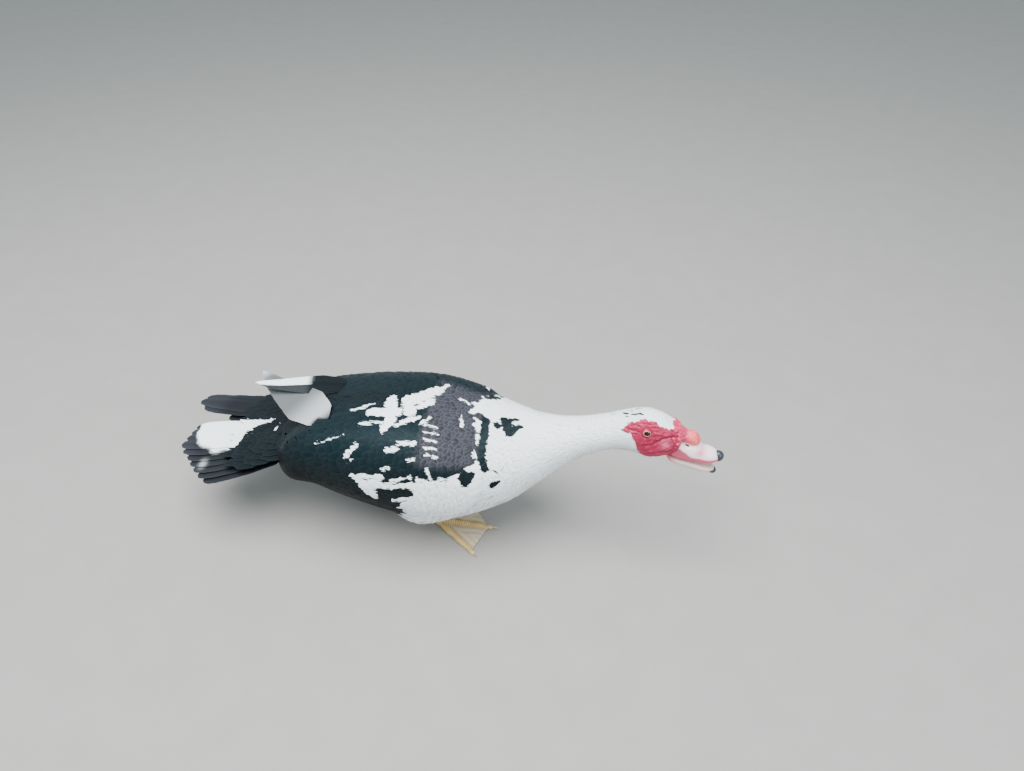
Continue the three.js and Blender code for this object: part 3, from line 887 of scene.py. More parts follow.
def lid_place(name, side):
    out, along, up = eye_axes(side)

    def place(u, v):
        turn = 2 * np.pi * u
        across = 2 * np.pi * v
        width = 0.45 + 0.08 * np.sin(turn)
        reach = 1 + 0.03 * np.sin(turn * 9)
        ring_x = (opening_half_length + width * (1 - np.cos(across))) * np.cos(turn) * reach
        ring_y = (opening_half_height + width * (1 - np.cos(across))) * np.sin(turn) * reach
        inside = np.clip(ring_x ** 2 + ring_y ** 2, 0, (eye_radius * 0.98) ** 2)
        ball_height = np.sqrt(eye_radius ** 2 - inside)
        height = ball_height + 0.2 + 0.6 * np.sin(across)
        offset = ring_x[:, None] * along + ring_y[:, None] * up + height[:, None] * out
        return eye_places[name] + offset
    return place


def eye_finish(name, side):
    finish = Finish("eye_" + name + "_finish", 0.14, 0.3)
    out = eye_axes(side)[0]
    pole = to_frame(eye_places[name] + out * eye_radius)
    from_pole = finish.make.node("ShaderNodeVectorMath", {"operation": "DISTANCE"},
                                 {0: finish.place(), 1: tuple(pole)}, "Value")
    iris = finish.mottle(1.2, 4, (34, 18, 10), (60, 34, 18))
    past_pupil = from_pole.step((pupil_radius - 0.3) * mm, (pupil_radius + 0.3) * mm)
    past_iris = from_pole.step((iris_radius - 0.3) * mm, (iris_radius + 0.5) * mm)
    shade = finish.blend(past_pupil, colour(8, 7, 7), iris)
    finish.feed(Base_Color=finish.blend(past_iris, shade, colour(150, 30, 62)))
    finish.constant(Coat_Weight=0.3, Coat_Roughness=0.03)
    return finish


lid_finish = Finish("lid_finish", 0.5)
lid_finish.feed(Base_Color=lid_finish.mottle(1.4, 3, (188, 96, 104), (206, 132, 118)))
lid_finish.relief(lid_finish.noise(0.7, 3), 0.15, 0.5)
for name, side in both_sides:
    eye_mesh = bmesh.new()
    ball(eye_mesh, eye_places[name], (eye_radius,) * 3, 0, 4)
    eyeball = piece_of("eyeball_" + name, eye_mesh)
    finished(eyeball, eye_finish(name, side), "eye", "eye_" + name)
    lids = wrap("lids_" + name, 72, 16, lid_place(name, side), ends_closed=False)
    finished(lids, lid_finish, "bare_skin")

# %% [markdown]
# Each foot is three long toes joined by a web, a short hind toe and a shank. Balls strung along the
# toes give the joints, a thin sheet between them is the web, and one remesh grows them together.
# The sole is pressed flat on the floor. Claws are separate horn, each a small curved cone.

# %% Feet and shanks
legs = {
    "right": {"side": right, "joint": (-22, -21), "heading": 0, "hock": (-66, -42, 56)},
    "left": {"side": left, "joint": (-108, 42), "heading": 4, "hock": (-150, 52, 58)}}
toes = [{"turn": 38, "length": 84, "claw": 9}, {"turn": 0, "length": 82, "claw": 13},
        {"turn": -32, "length": 66, "claw": 10}]
hind_toe = {"turn": 205, "length": 20, "claw": 8}
web_share, web_hollow = 0.95, 0.2
web_height, web_thickness = 1.0, 2.6
ball_step = 2.2


def toe_line(leg, toe):
    """The toe's start and its direction on the floor."""
    angle = math.radians(leg["heading"] + leg["side"] * toe["turn"])
    return np.array([*leg["joint"], 0.0]), np.array([math.cos(angle), math.sin(angle), 0.0])


def strung(bm, start, end, start_radius, end_radius, joints):
    """Balls along a line, swollen a little at each joint."""
    count = int(np.linalg.norm(end - start) / ball_step) + 1
    for share in np.linspace(0, 1, count):
        knuckle = 1 + 0.14 * math.cos(2 * math.pi * share * joints)
        radius = (start_radius + (end_radius - start_radius) * share) * knuckle
        ball(bm, start + (end - start) * share, (radius, radius, radius), 0, 2)


def web_sheet(bm, leg):
    """The web between the toes: one flat outline, drawn in between their tips, with a thickness."""
    start = to_frame(np.array([*leg["joint"], web_height]))
    rim = []
    for first, second in zip(toes[:-1], toes[1:]):
        for share in np.linspace(0, 1, 9)[:8 if second is toes[1] else 9]:
            reach = (1 - share) * first["length"] + share * second["length"]
            reach *= web_share - web_hollow * share * (1 - share)
            turn = first["turn"] * (1 - share) + second["turn"] * share
            angle = math.radians(leg["heading"] + leg["side"] * turn)
            x = leg["joint"][0] + reach * math.cos(angle)
            y = leg["joint"][1] + reach * math.sin(angle)
            rim.append(to_frame(np.array([x, y, web_height])))
    corners = [bm.verts.new(start)] + [bm.verts.new(point) for point in rim]
    fan = [bm.faces.new((corners[0], a, b)) for a, b in zip(corners[1:-1], corners[2:])]
    grown = bmesh.ops.extrude_face_region(bm, geom=fan)["geom"]
    top = [item for item in grown if isinstance(item, bmesh.types.BMVert)]
    bmesh.ops.translate(bm, verts=top, vec=(0, 0, web_thickness * mm))
    bmesh.ops.recalc_face_normals(bm, faces=bm.faces)


def toe_distance(points, leg):
    """Distance of each place from the nearest toe's line, and how far along it lies."""
    nearest = np.full(len(points), 1e9)
    along = np.zeros(len(points))
    for toe in toes:
        start, direction = toe_line(leg, toe)
        offset = points[:, :2] - start[:2]
        reach = np.clip(offset @ direction[:2], 0, toe["length"])
        distance = np.linalg.norm(offset - reach[:, None] * direction[:2], axis=-1)
        along = np.where(distance < nearest, reach, along)
        nearest = np.minimum(nearest, distance)
    return nearest, along


def foot_of(name, leg):
    bm = bmesh.new()
    web_sheet(bm, leg)
    for toe in toes:
        start, direction = toe_line(leg, toe)
        joints = 3 if toe["turn"] else 4
        end = start + direction * toe["length"]
        strung(bm, start + (0, 0, 4.2), end + (0, 0, 2.7), 5.0, 3.0, joints)
    start, direction = toe_line(leg, hind_toe)
    end = start + direction * hind_toe["length"]
    strung(bm, start + (0, 0, 5), end + (0, 0, 3), 5.4, 3.2, 1)
    ball(bm, (*leg["joint"], 9), (10, 9.5, 9))
    foot = fused("foot_piece_" + name, bm, 1.1, 3)
    points = drake_points(foot)
    distance, along = toe_distance(points, leg)
    on_toe = 1 - ease(4.5, 7, distance)
    scutes = np.abs(np.sin(along * 0.95)) ** 0.5
    folds = np.sin(distance * 0.75 + 2.2 * grain(points, 14))
    heights = on_toe * 0.5 * scutes + (1 - on_toe) * (0.5 * folds + 0.35 * grain(points, 3.5))
    heights *= ease(1.2, 2.6, points[:, 2])
    raise_surface(foot.data, heights)
    settled = points_of(foot.data)
    settled[:, 2] = np.maximum(settled[:, 2], 0)
    set_points(foot.data, settled)
    # The second and third channels mark the grooves between the toes' scutes and the troughs of the
    # web's folds, for painted shade.
    toe_and_painted_shade = np.stack([on_toe, ease(0.2, 0.9, scutes) * on_toe, 1 - ease(-0.6, 0.4, folds)], -1)
    write_colour(foot.data, "toe", toe_and_painted_shade)
    return foot


def shank_place(leg):
    start = np.array([*leg["joint"], 8.0])
    end = np.array(leg["hock"], float)
    along = (end - start) / np.linalg.norm(end - start)
    side = np.cross([0, 0, 1.0], along)
    side /= np.linalg.norm(side)
    forward = np.cross(side, along)

    def place(u, v):
        turn = 2 * np.pi * v
        ends = np.sqrt(np.clip(1 - (2 * u - 1) ** 12, 0, 1))
        scales = 0.02 * np.sign(np.sin(2 * np.pi * u * 13)) * (np.cos(turn) > 0)
        knuckle = 1 + 0.16 * np.cos(2 * np.pi * u) + scales
        radius = (6.2 + 0.9 * u) * knuckle * ends
        return (start + (end - start) * u[:, None] + side * (np.sin(turn) * radius * 0.9)[:, None]
                + forward * (np.cos(turn) * radius)[:, None])
    return place


def claw_place(leg, toe):
    start, direction = toe_line(leg, toe)

    def place(u, v):
        turn = 2 * np.pi * v
        radius = 2.9 * np.sqrt(np.clip(1 - u, 0, 1)) * ease(-0.2, 0.12, u) + 0.25
        reach = toe["length"] - 6 + (toe["claw"] + 6) * u
        side = np.array([-direction[1], direction[0], 0])
        height = 4.2 - 2.9 * u ** 2 + np.cos(turn) * radius
        return (start + direction * reach[:, None] + side * (np.sin(turn) * radius * 0.8)[:, None]
                + np.array([0, 0, 1.0]) * np.maximum(height, 0.05)[:, None])
    return place


foot_finish = Finish("foot_skin_finish", 0.6)
# Painted shade in the troughs of the web's folds.
painted_web_shade = foot_finish.attribute("toe", "Blue") * 0.3
web_colour = foot_finish.mottle(14, 4, (180, 166, 150), (206, 188, 152))
web_colour = foot_finish.blend(painted_web_shade, web_colour, colour(140, 122, 110))
# Painted shade in the grooves between the toes' scutes.
painted_scute_shade = 1 - foot_finish.attribute("toe", "Green").step(0.1, 0.8)
toe_colour = foot_finish.mottle(8, 3, (214, 184, 116), (192, 164, 112))
toe_colour = foot_finish.blend(painted_scute_shade, toe_colour, colour(132, 100, 58))
foot_colour = foot_finish.blend(foot_finish.attribute("toe", "Red"), web_colour, toe_colour)
foot_finish.feed(Base_Color=foot_colour, Roughness=0.5 + foot_finish.noise(4) * 0.3)
foot_finish.relief(foot_finish.cells(1.6, "DISTANCE_TO_EDGE").step(0.0, 0.12), 0.18, 0.6)

shank_finish = Finish("shank_finish", 0.6)
shank_scales = shank_finish.cells(2.4).step(0.5, 0.9) * 0.4
shank_colour = shank_finish.mottle(6, 3, (196, 160, 78), (150, 120, 70))
shank_finish.feed(Base_Color=shank_finish.blend(shank_scales, shank_colour, colour(110, 84, 54)))
shank_finish.relief(shank_finish.cells(2.4, "DISTANCE_TO_EDGE").step(0.0, 0.15), 0.3, 0.7)

claw_finish = Finish("claw_finish", 0.4)
claw_finish.feed(Base_Color=claw_finish.mottle(3, 3, (196, 178, 150), (120, 102, 84)))

for name, leg in legs.items():
    finished(foot_of(name, leg), foot_finish, "foot_skin", "foot_" + name)
    shank = wrap("shank_piece_" + name, 60, 28, shank_place(leg))
    finished(shank, shank_finish, "foot_skin", "shank_" + name)
    for number, toe in enumerate([*toes, hind_toe], start=1):
        claw = wrap("claw_" + name + "_" + str(number), 14, 12, claw_place(leg, toe))
        finished(claw, claw_finish, "foot_skin")

# %% [markdown]
# A feather is a closed vane: a root point, a few rings across it, and a tip point. Each ring has an
# arched top and one corner below, so the vane has a thickness and a ridge where the quill runs.
# Thousands of them are worked out at once as arrays, in three local measures: along the feather,
# across it, and up from the coat. A tract then says where those measures lie on the drake. A vane
# also carries its own shading directions, which follow the coat and lean a little to its sides, so
# that flat overlapping feathers read as one soft coat and not as beads.

# %% Vanes
def vane_faces(rings, columns):
    """The triangles of one closed vane, by corner number, split the same way above and below."""
    ring = columns + 1
    tip = 1 + rings * ring
    faces = []
    for k in range(ring):
        after = (k + 1) % ring
        faces.append((0, 1 + after, 1 + k))
        faces.append((tip, tip - ring + k, tip - ring + after))
        for first in range(1, tip - ring, ring):
            here, beside = first + k, first + after
            across, beyond = here + ring, beside + ring
            if k < columns - 1:
                faces += [(here, beside, beyond), (here, beyond, across)]
            else:
                faces += [(here, beside, across), (beside, beyond, across)]
    return np.array(faces)


def vanes(length, width, rings=4, columns=3, low=-4.0, high=0.0, thick=0.4, arch=0.05, tip=3.0,
          narrow_root=0.5, ragged=0.06):
    """Along, across and up for every corner of many vanes, the corners' shares, and the faces."""
    count = len(length)
    u = 0.5 - 0.5 * np.cos(np.linspace(0.18, 0.95, rings) * np.pi)
    u = 0.35 * np.linspace(0.12, 0.95, rings) + 0.65 * u
    c = np.append(np.linspace(-1, 1, columns), 0.0)
    below = np.append(np.zeros(columns), 1.0)
    round_end = np.clip(1 - np.clip((u - 0.35) / 0.65, 0, 1) ** tip, 0, 1) ** 0.5
    half = round_end * (narrow_root + (1 - narrow_root) * np.clip(u / 0.4, 0, 1))
    along = np.zeros((count, 2 + rings * (columns + 1)))
    across = np.zeros(along.shape)
    up = np.zeros(along.shape)
    vane_u = np.zeros(along.shape[1])
    vane_c = np.zeros(along.shape[1])
    under = np.zeros(along.shape[1], bool)
    grid_u = np.repeat(u, columns + 1)
    grid_c = np.tile(c, rings)
    grid_half = np.repeat(half, columns + 1)
    grid_below = np.tile(below, rings)
    wobble = 1 + ragged * (random.random((count, len(grid_u))) * 2 - 1)
    along[:, 1:-1] = length[:, None] * grid_u * (1 - (1 - wobble) * 0.3)
    along[:, -1] = length
    across[:, 1:-1] = grid_c * grid_half * width[:, None] / 2 * wobble
    rise = np.concatenate([[0], grid_u, [1]]) ** 0.8
    base, peak = [np.atleast_1d(value)[:, None] for value in (low, high)]
    up[:] = base + (peak - base) * rise
    up[:, 1:-1] -= arch * np.abs(grid_c) ** 1.5 * grid_half * width[:, None] / 2
    up[:, 1:-1] -= grid_below * thick
    vane_u[1:-1] = grid_u
    vane_u[-1] = 1
    vane_c[1:-1] = grid_c
    under[1:-1] = grid_below > 0
    return along, across, up, (vane_u, vane_c, under), vane_faces(rings, columns)


def unit(vectors):
    return vectors / np.maximum(np.linalg.norm(vectors, axis=-1, keepdims=True), 1e-9)


def shaded(outward, sideways, backward, shares, bow, two_sided=False):
    """Shading directions: out of the coat, leaning to a vane's sides and tip by bow."""
    vane_u, vane_c, under = shares
    lean = bow * (vane_c[:, None] * sideways + 0.6 * (vane_u[:, None] - 0.4) * backward)
    turned = np.where(under & two_sided, -1, 1)[:, None]
    return unit(outward + lean) * turned


# %% [markdown]
# A coat piece joins its vanes into meshes of under 200,000 triangles. Every vane's corners carry
# the plumage colours there and one random tone. The map named OFBake holds each vane as a tiny
# patch at its root's place on the skin laid out flat, and the map named vane holds its own length
# and width, for the barbs.

# %% Joined coat pieces
patch = 0.003
most_triangles = 190000
map_margin, map_length = 0.02, 0.96
body_strip, tail_strip_from, tail_strip = 0.74, 0.80, 0.18
coat_total = 0


def joined_mesh(name, points, directions, faces):
    mesh = bpy.data.meshes.new(name)
    corners = faces.ravel().astype(np.int32)
    mesh.vertices.add(len(points))
    mesh.loops.add(len(corners))
    mesh.polygons.add(len(faces))
    mesh.vertices.foreach_set("co", points.astype(np.float32).ravel())
    mesh.loops.foreach_set("vertex_index", corners)
    mesh.polygons.foreach_set("loop_start", np.arange(0, len(corners), 3, dtype=np.int32))
    mesh.update(calc_edges=True)
    layer = mesh.attributes.new("custom_normal", "FLOAT_VECTOR", "POINT")
    layer.data.foreach_set("vector", directions.astype(np.float32).ravel())
    return mesh


def write_uv(mesh, name, uv, faces):
    layer = mesh.uv_layers.new(name=name)
    layer.data.foreach_set("uv", uv[faces.ravel()].astype(np.float32).ravel())


def coat(name, points, directions, faces, shares, home, colours, finish, slot, replaced=()):
    """Joined meshes of many vanes. points is millimetres, home the roots' places from 0 to 1."""
    global coat_total
    vane_u, vane_c = shares[:2]
    count, corners = points.shape[:2]
    sides = [points[:, faces[:, k]] - points[:, :1] for k in range(3)]
    volume = np.einsum("ijk,ijk->i", sides[0], np.cross(sides[1], sides[2])).sum()
    if volume < 0:
        faces = faces[:, ::-1]
    tone = np.repeat(random.random(count), corners).reshape(count, corners)
    per_piece = most_triangles // len(faces)
    parts = math.ceil(count / per_piece)
    own_patch = np.stack([vane_u, vane_c / 2 + 0.5], -1) - 0.5
    for part in range(parts):
        chosen = slice(part * count // parts, (part + 1) * count // parts)
        some = points[chosen]
        flat_faces = (faces[None] + corners * np.arange(len(some))[:, None, None]).reshape(-1, 3)
        places = to_frame(some.reshape(-1, 3))
        mesh = joined_mesh(name, places, directions[chosen].reshape(-1, 3), flat_faces)
        bake = home[chosen][:, None, :] + own_patch[None] * patch
        write_uv(mesh, "OFBake", bake.reshape(-1, 2), flat_faces)
        write_uv(mesh, "vane", np.tile(np.stack([vane_u, vane_c], -1), (len(some), 1)), flat_faces)
        write_colour(mesh, "plumage", colours[chosen].reshape(-1, 3))
        write_value(mesh, "tone", tone[chosen].ravel())
        piece = link(name + "_" + str(part + 1), mesh)
        finished(piece, finish, slot, *(replaced if part == 0 else ()))
    coat_total += count * len(faces)


def home_on_body(s, degrees):
    """Places on the map for feathers of the body, where the skin lies there laid out flat."""
    u = map_margin + map_length * (s + 250) / 570
    return np.stack([u, map_margin + body_strip * (degrees / 360 + 0.5)], -1)


def home_beside(reach, spread):
    """Places for tail and flight feathers, on the strip of the map that the body leaves free."""
    return np.stack([map_margin + map_length * reach, tail_strip_from + tail_strip * spread], -1)


# %% [markdown]
# The feathers' finish reads those colours. Dark ones are black with a green gloss, a little
# metallic, as the light is broken up by the barbs; on the body that green is mostly a painted
# sheen, and the dark feathers' edges and tips are lightened, a painted highlight. The mantle's
# feathers are matt dark grey, each with a paler rim, which gives the scaled look. White ones are
# soft and matt, and greyer toward the root, painted shade under the feathers in front. Fine
# slanting lines from the quill are the barbs.

# %% Finish of the feathers
def feather_finish(name, rim_strength, crisp=False):
    """Crisp feathers are either white or dark at each place, with a frayed edge between the two."""
    finish = Finish(name, 0.5, 0.12)
    white = finish.attribute("plumage", "Red")
    if crisp:
        frayed = finish.noise(2.2, 3, stretch=(0.22, 1, 1)) - 0.5
        white = (white + frayed * 1.5).step(0.42, 0.58)
    gloss_and_painted_sheen = finish.attribute("plumage", "Green")
    mantle = finish.attribute("plumage", "Blue")
    tone = finish.value("tone")
    along, across = finish.along_and_across("vane")
    side = across.maths("ABSOLUTE", across)
    rim = (side * side * 0.6 + along * along * along * 0.8).step(0.3, 1.1)
    barb_turn = (along * 34 + side * 7) * (2 * math.pi)
    barbs = barb_turn.maths("SINE", barb_turn)
    # The green share, on the body mostly the painted sheen band.
    dark = finish.blend(gloss_and_painted_sheen, colour(6, 7, 9), colour(8, 28, 32))
    dark = finish.blend(tone * 0.3, dark, colour(22, 28, 33))
    # Painted highlight: the edges and tips of the dark feathers are lightened.
    dark = finish.blend(rim * 0.08, dark, colour(64, 76, 80))
    scaled = finish.blend(tone * 0.6, colour(36, 36, 40), colour(56, 56, 62))
    scaled = finish.blend(rim * rim_strength, scaled, colour(98, 100, 114))
    pale = finish.blend(tone * 0.2, colour(240, 245, 248), colour(222, 230, 236))
    # Painted shade: white feathers are greyer toward the root, where the feathers in front cover them.
    pale = finish.blend((1 - along) * 0.12, pale, colour(206, 214, 222))
    shade = finish.blend(mantle, dark, scaled)
    shade = finish.blend(white, shade, pale)
    finish.feed(Base_Color=shade, Metallic=(1 - white) * (1 - mantle) * gloss_and_painted_sheen * 0.25,
                Roughness=0.52 + white * 0.3 + mantle * 0.2 - gloss_and_painted_sheen * 0.12 + tone * 0.06)
    finish.relief(barbs * 0.5 + 0.5, 0.08, 0.5)
    return finish


coat_finish = feather_finish("coat_feathers", 0.32, crisp=True)

# %% [markdown]
# Body feathers stand in rows round the body, each row half a step turned from the last, and all
# point to the tail. Rows are close together on the head and wider on the rump. Each corner takes
# its colour mostly from its own place and partly from its feather's middle, so a mark's edge is
# ragged. Feathers that an edge crosses get more corners.

# %% Rows of roots
own_place_share = 0.75
marked_shares = np.array([0.35, 0.65, 1.0])


def staggered(s_from, s_to, pitch_at, spread_at):
    """Roots in staggered rows round the body between two places along it, as distance and angle."""
    all_s, all_degrees = [], []
    s, row = s_from, 0
    while s > s_to:
        arc = 2 * math.pi * float(girth_radius(np.array([s]))[0])
        count = max(3, round(arc / spread_at(s)))
        steps = (np.arange(count) + 0.5 * (row % 2)) / count
        jitter = (random.random(count) - 0.5) * 0.6 / count
        all_degrees.append(-180.0 + (steps + jitter) * 360.0)
        all_s.append(s + (random.random(count) - 0.5) * 0.7 * pitch_at(s))
        s -= pitch_at(s)
        row += 1
    return np.concatenate(all_s), (np.concatenate(all_degrees) + 180) % 360 - 180


def lay(name, s, degrees, length, width, surface, bow, heading=0.0, stray=14, slot="white_feather",
        **shape):
    """Feathers with their roots at places on the body, lying along it toward the tail."""
    along, across, up, shares, faces = vanes(length, width, **shape)
    turn = np.radians(heading + (random.random(len(s)) - 0.5) * stray)[:, None]
    radius = girth_radius(s)[:, None]
    side = np.where(degrees < 0, -1, 1)[:, None]
    back = along * np.cos(turn) - across * np.sin(turn)
    sideways = along * np.sin(turn) * side + across * np.cos(turn)
    s_here = s[:, None] - back
    degrees_here = degrees[:, None] + np.degrees(sideways / np.maximum(radius, 12))
    points = surface(s_here, degrees_here, up)
    backward = unit(surface(s_here - 5, degrees_here, up) - points)
    round_body = unit(surface(s_here, degrees_here + 3, up) - points)
    outward = unit(np.cross(round_body, backward))
    directions = shaded(outward, round_body, backward, shares, bow)
    middle = s_here[:, :1] - 0.7 * np.asarray(length)[:, None]
    middle_degrees = np.median(degrees_here, axis=1, keepdims=True)
    colours = plumage(middle + own_place_share * (s_here - middle),
                      middle_degrees + own_place_share * (degrees_here - middle_degrees))
    coat(name, points, directions, faces, shares, home_on_body(s, degrees), colours, coat_finish, slot)


def lay_marked(name, s, degrees, length, width, surface, rings, **options):
    """Feathers as lay makes them, with many more corners on those that a mark's edge crosses."""
    half_turn = np.degrees(width / 2 / girth_radius(s))
    whites = [plumage(s - length * share, degrees + side * half_turn)[:, 0]
              for share in marked_shares for side in (-1, 0, 1)]
    crossed = (np.max(whites, axis=0) > 0.4) & (np.min(whites, axis=0) < 0.6)
    for ending, chosen, more in (("", ~crossed, {"rings": rings, "columns": 3}),
                                 ("_marked", crossed, {"rings": 2 * rings, "columns": 7})):
        some = {key: value[chosen] if isinstance(value, np.ndarray) else value
                for key, value in options.items()}
        lay(name + ending, s[chosen], degrees[chosen], length[chosen], width[chosen], surface,
            **more, **some)


def wing_covers(s, degrees):
    share = wing_share(np.clip(s, wing_rows[0, 0], wing_rows[-1, 0]), degrees)
    return (s > -222) & (s < 62) & (share > 0.08) & (share < 0.9)


print("face patch", round(float(cheek_line(270) - brow_line(270))), "degrees wide below the eye")

# %% Feathers of the head and neck
head_s, head_degrees = staggered(300, 232, lambda s: 2.0, lambda s: 1.9)
kept = face_share(head_s - 2, head_degrees) < 0.4
kept &= ~((head_s > 290) & (np.abs(head_degrees) < 30))
head_s, head_degrees = head_s[kept], head_degrees[kept]
count = len(head_s)
lay("crown_feathers", head_s, head_degrees, 6.5 + 2 * random.random(count), np.full(count, 2.8),
    on_body, bow=0.16, low=-1.7, high=0.1 + 0.35 * random.random(count), thick=0.25, rings=3)

neck_s, neck_degrees = staggered(240, 122, lambda s: 3.0, lambda s: 2.8)
kept = face_share(neck_s - 4, neck_degrees) < 0.4
neck_s, neck_degrees = neck_s[kept], neck_degrees[kept]
count = len(neck_s)
lay("neck_feathers", neck_s, neck_degrees, 13 + 4 * random.random(count), np.full(count, 5.0), on_body,
    bow=0.16, low=-3.2, high=-0.3 + 0.4 * random.random(count), thick=0.3)

# %% Feathers of the body
body_pitch = table([(-244, 8.5), (-60, 7.5), (60, 5.2), (124, 4.0)])
body_spread = table([(-244, 7.5), (-60, 6.6), (60, 4.9), (124, 3.8)])
body_s, body_degrees = staggered(124, -236, body_pitch, body_spread)
kept = ~wing_covers(body_s - 8, body_degrees)
body_s, body_degrees = body_s[kept], body_degrees[kept]
in_mantle = plumage(body_s - 12, body_degrees)[:, 2] > 0.5
for name, chosen, bow, arch in (("body_feathers", ~in_mantle, 0.18, 0.05),
                                ("mantle_feathers", in_mantle, 0.2, 0.06)):
    some_s, some_degrees = body_s[chosen], body_degrees[chosen]
    count = len(some_s)
    body_length = body_pitch(some_s) * (3.4 + 0.8 * random.random(count))
    lay_marked(name, some_s, some_degrees, body_length, body_spread(some_s) * 1.9, on_body, rings=5,
               bow=bow, arch=arch, low=-5.5, high=-0.6 + 0.7 * random.random(count))
    print(count, name.replace("_", " "))

# %% [markdown]
# The wing's feathers run in tracts: small ones at the shoulder, then longer and broader rows, and
# long flight feathers folded along the lower edge. Their roots are set by how far back they are and
# how far down the wing.

# %% Feathers of the wings
wing_pitch = table([(-226, 13), (-120, 11), (-20, 8.0), (64, 5)])
wing_spread = table([(-226, 11), (-120, 10), (-20, 8.0), (64, 5)])
wing_rear = -236
wing_radius = 100
quills = 14


def wing_roots(side):
    """Roots in staggered rows over one folded wing, as distance and angle."""
    all_s, all_degrees = [], []
    s, row = 66.0, 0
    while s > -206:
        top = float(sample(wing_rows, wing_top_column, s)) - 3
        bottom = float(sample(wing_rows, wing_bottom_column, s))
        count = max(2, round(math.radians(bottom - top) * wing_radius / wing_spread(s)))
        share = (np.arange(count) + 0.5 * (row % 2) + 0.3 * (random.random(count) - 0.5)) / count
        all_degrees.append(side * (top + (bottom - top) * share))
        all_s.append(s + (random.random(count) - 0.5) * 0.5 * wing_pitch(s))
        s -= wing_pitch(s)
        row += 1
    return np.concatenate(all_s), np.concatenate(all_degrees)


for name, side in both_sides:
    wing_s, wing_degrees = wing_roots(side)
    count = len(wing_s)
    share = wing_share(wing_s, wing_degrees)
    sleek = ease(20, -70, wing_s)
    wing_length = wing_pitch(wing_s) * (2.9 + 0.5 * random.random(count) + 1.6 * sleek)
    wing_length = np.minimum(wing_length, wing_s - wing_rear)
    lay_marked("wing_coverts_" + name, wing_s, wing_degrees, wing_length, wing_spread(wing_s) * 1.9,
               on_wing, rings=7, heading=5 * (0.5 - share), stray=8, low=-4.5, bow=0.14,
               high=-0.5 + 0.6 * random.random(count), slot="dark_feather", arch=0.04)

    order = np.arange(quills) / (quills - 1)
    quill_s = -36 - 96 * order
    quill_degrees = side * (116 - 50 * order)
    quill_length = quill_s - (wing_rear + 24 * (1 - order) ** 2)
    lay("secondaries_" + name, quill_s, quill_degrees, quill_length, np.full(quills, 25.0), on_wing,
        heading=1.5, stray=2, rings=20, columns=5, low=-1.0 - 2.5 * order, high=0.9 - 1.2 * order,
        thick=0.6, bow=0.25, slot="dark_feather", ragged=0.02, tip=6)

# %% [markdown]
# The tail opens in two lobes. Each tail feather lies along one line of a fan that falls toward the
# tips and droops a little at its sides. The near lobe has a broad white band along its inner edge
# that widens to the tip, where the feathers are worn and greyish brown.

# %% Tail
tail_root_x, tail_root_height, tail_root_half_width = -222, 138, 64
tail_half_spread, tail_turn_share, tail_fall, tail_arch = 28, 0.68, 28, 4
near_lobe = table([(-28, 108), (-21.5, 132), (-13, 158), (-9.5, 172), (1, 165)])
far_lobe = table([(4.5, 118), (8.5, 130), (11, 180), (13, 194), (16, 190), (19.7, 146), (24, 108),
                  (28, 88)])
white_band_edge = table([(38, 4), (46, 1.9), (65, -0.7), (76, -4), (80, -14.7), (97, -14.2),
                         (115, -13.7), (133, -11.2), (146, -7.8), (156, -5), (161, 3), (170, 8)])
covert_dashes = [((28, -1), (29, -7), 1.4), ((15, -2), (11, -9), 2.2), ((9, -1), (3, -6), 1.8)]
straight_up = np.array([0.0, 0.0, 1.0])


def on_tail(reach, spread, aside, lift, full_length):
    """A place on the fan: reach along a feather's line, and aside from that line."""
    heading = np.radians(spread * tail_turn_share)
    root_y = tail_root_half_width * spread / tail_half_spread
    x = tail_root_x - np.cos(heading) * reach + np.sin(heading) * aside
    y = root_y + np.sin(heading) * reach + np.cos(heading) * aside
    u = reach / full_length
    z = tail_root_height - tail_fall * u - tail_arch * (spread / tail_half_spread) ** 2 + lift
    return np.stack([x, y, z], -1)


def tail_ways(spreads):
    """Directions across each tail feather and back along it."""
    heading = np.radians(spreads * tail_turn_share)[:, None]
    sideways = np.stack([np.sin(heading), np.cos(heading), 0 * heading], -1)
    backward = np.stack([-np.cos(heading), np.sin(heading), 0 * heading], -1)
    return sideways, backward


def tail_colours(reach, spread):
    """White, gloss and mantle shares of the tail, with the near lobe's white band."""
    near = spread < 4
    edge = white_band_edge(reach) + 0.7 * np.sin(reach * 0.21) * ease(70, 110, reach)
    white = near * ease(-0.8, 0.8, spread - edge)
    grey_patch = 0.3 * np.exp(-((reach - 68) / 12) ** 2 - ((spread + 6) / 3) ** 2)
    pale_spot = 0.4 * np.exp(-((reach - 124) / 5) ** 2 - ((spread + 19) / 1.6) ** 2)
    white = np.maximum(white, near * np.maximum(grey_patch, pale_spot))
    worn = 0.25 + 0.3 * ease(130, 160, reach)
    return np.stack([white, 0.3 * (1 - worn), worn], -1)


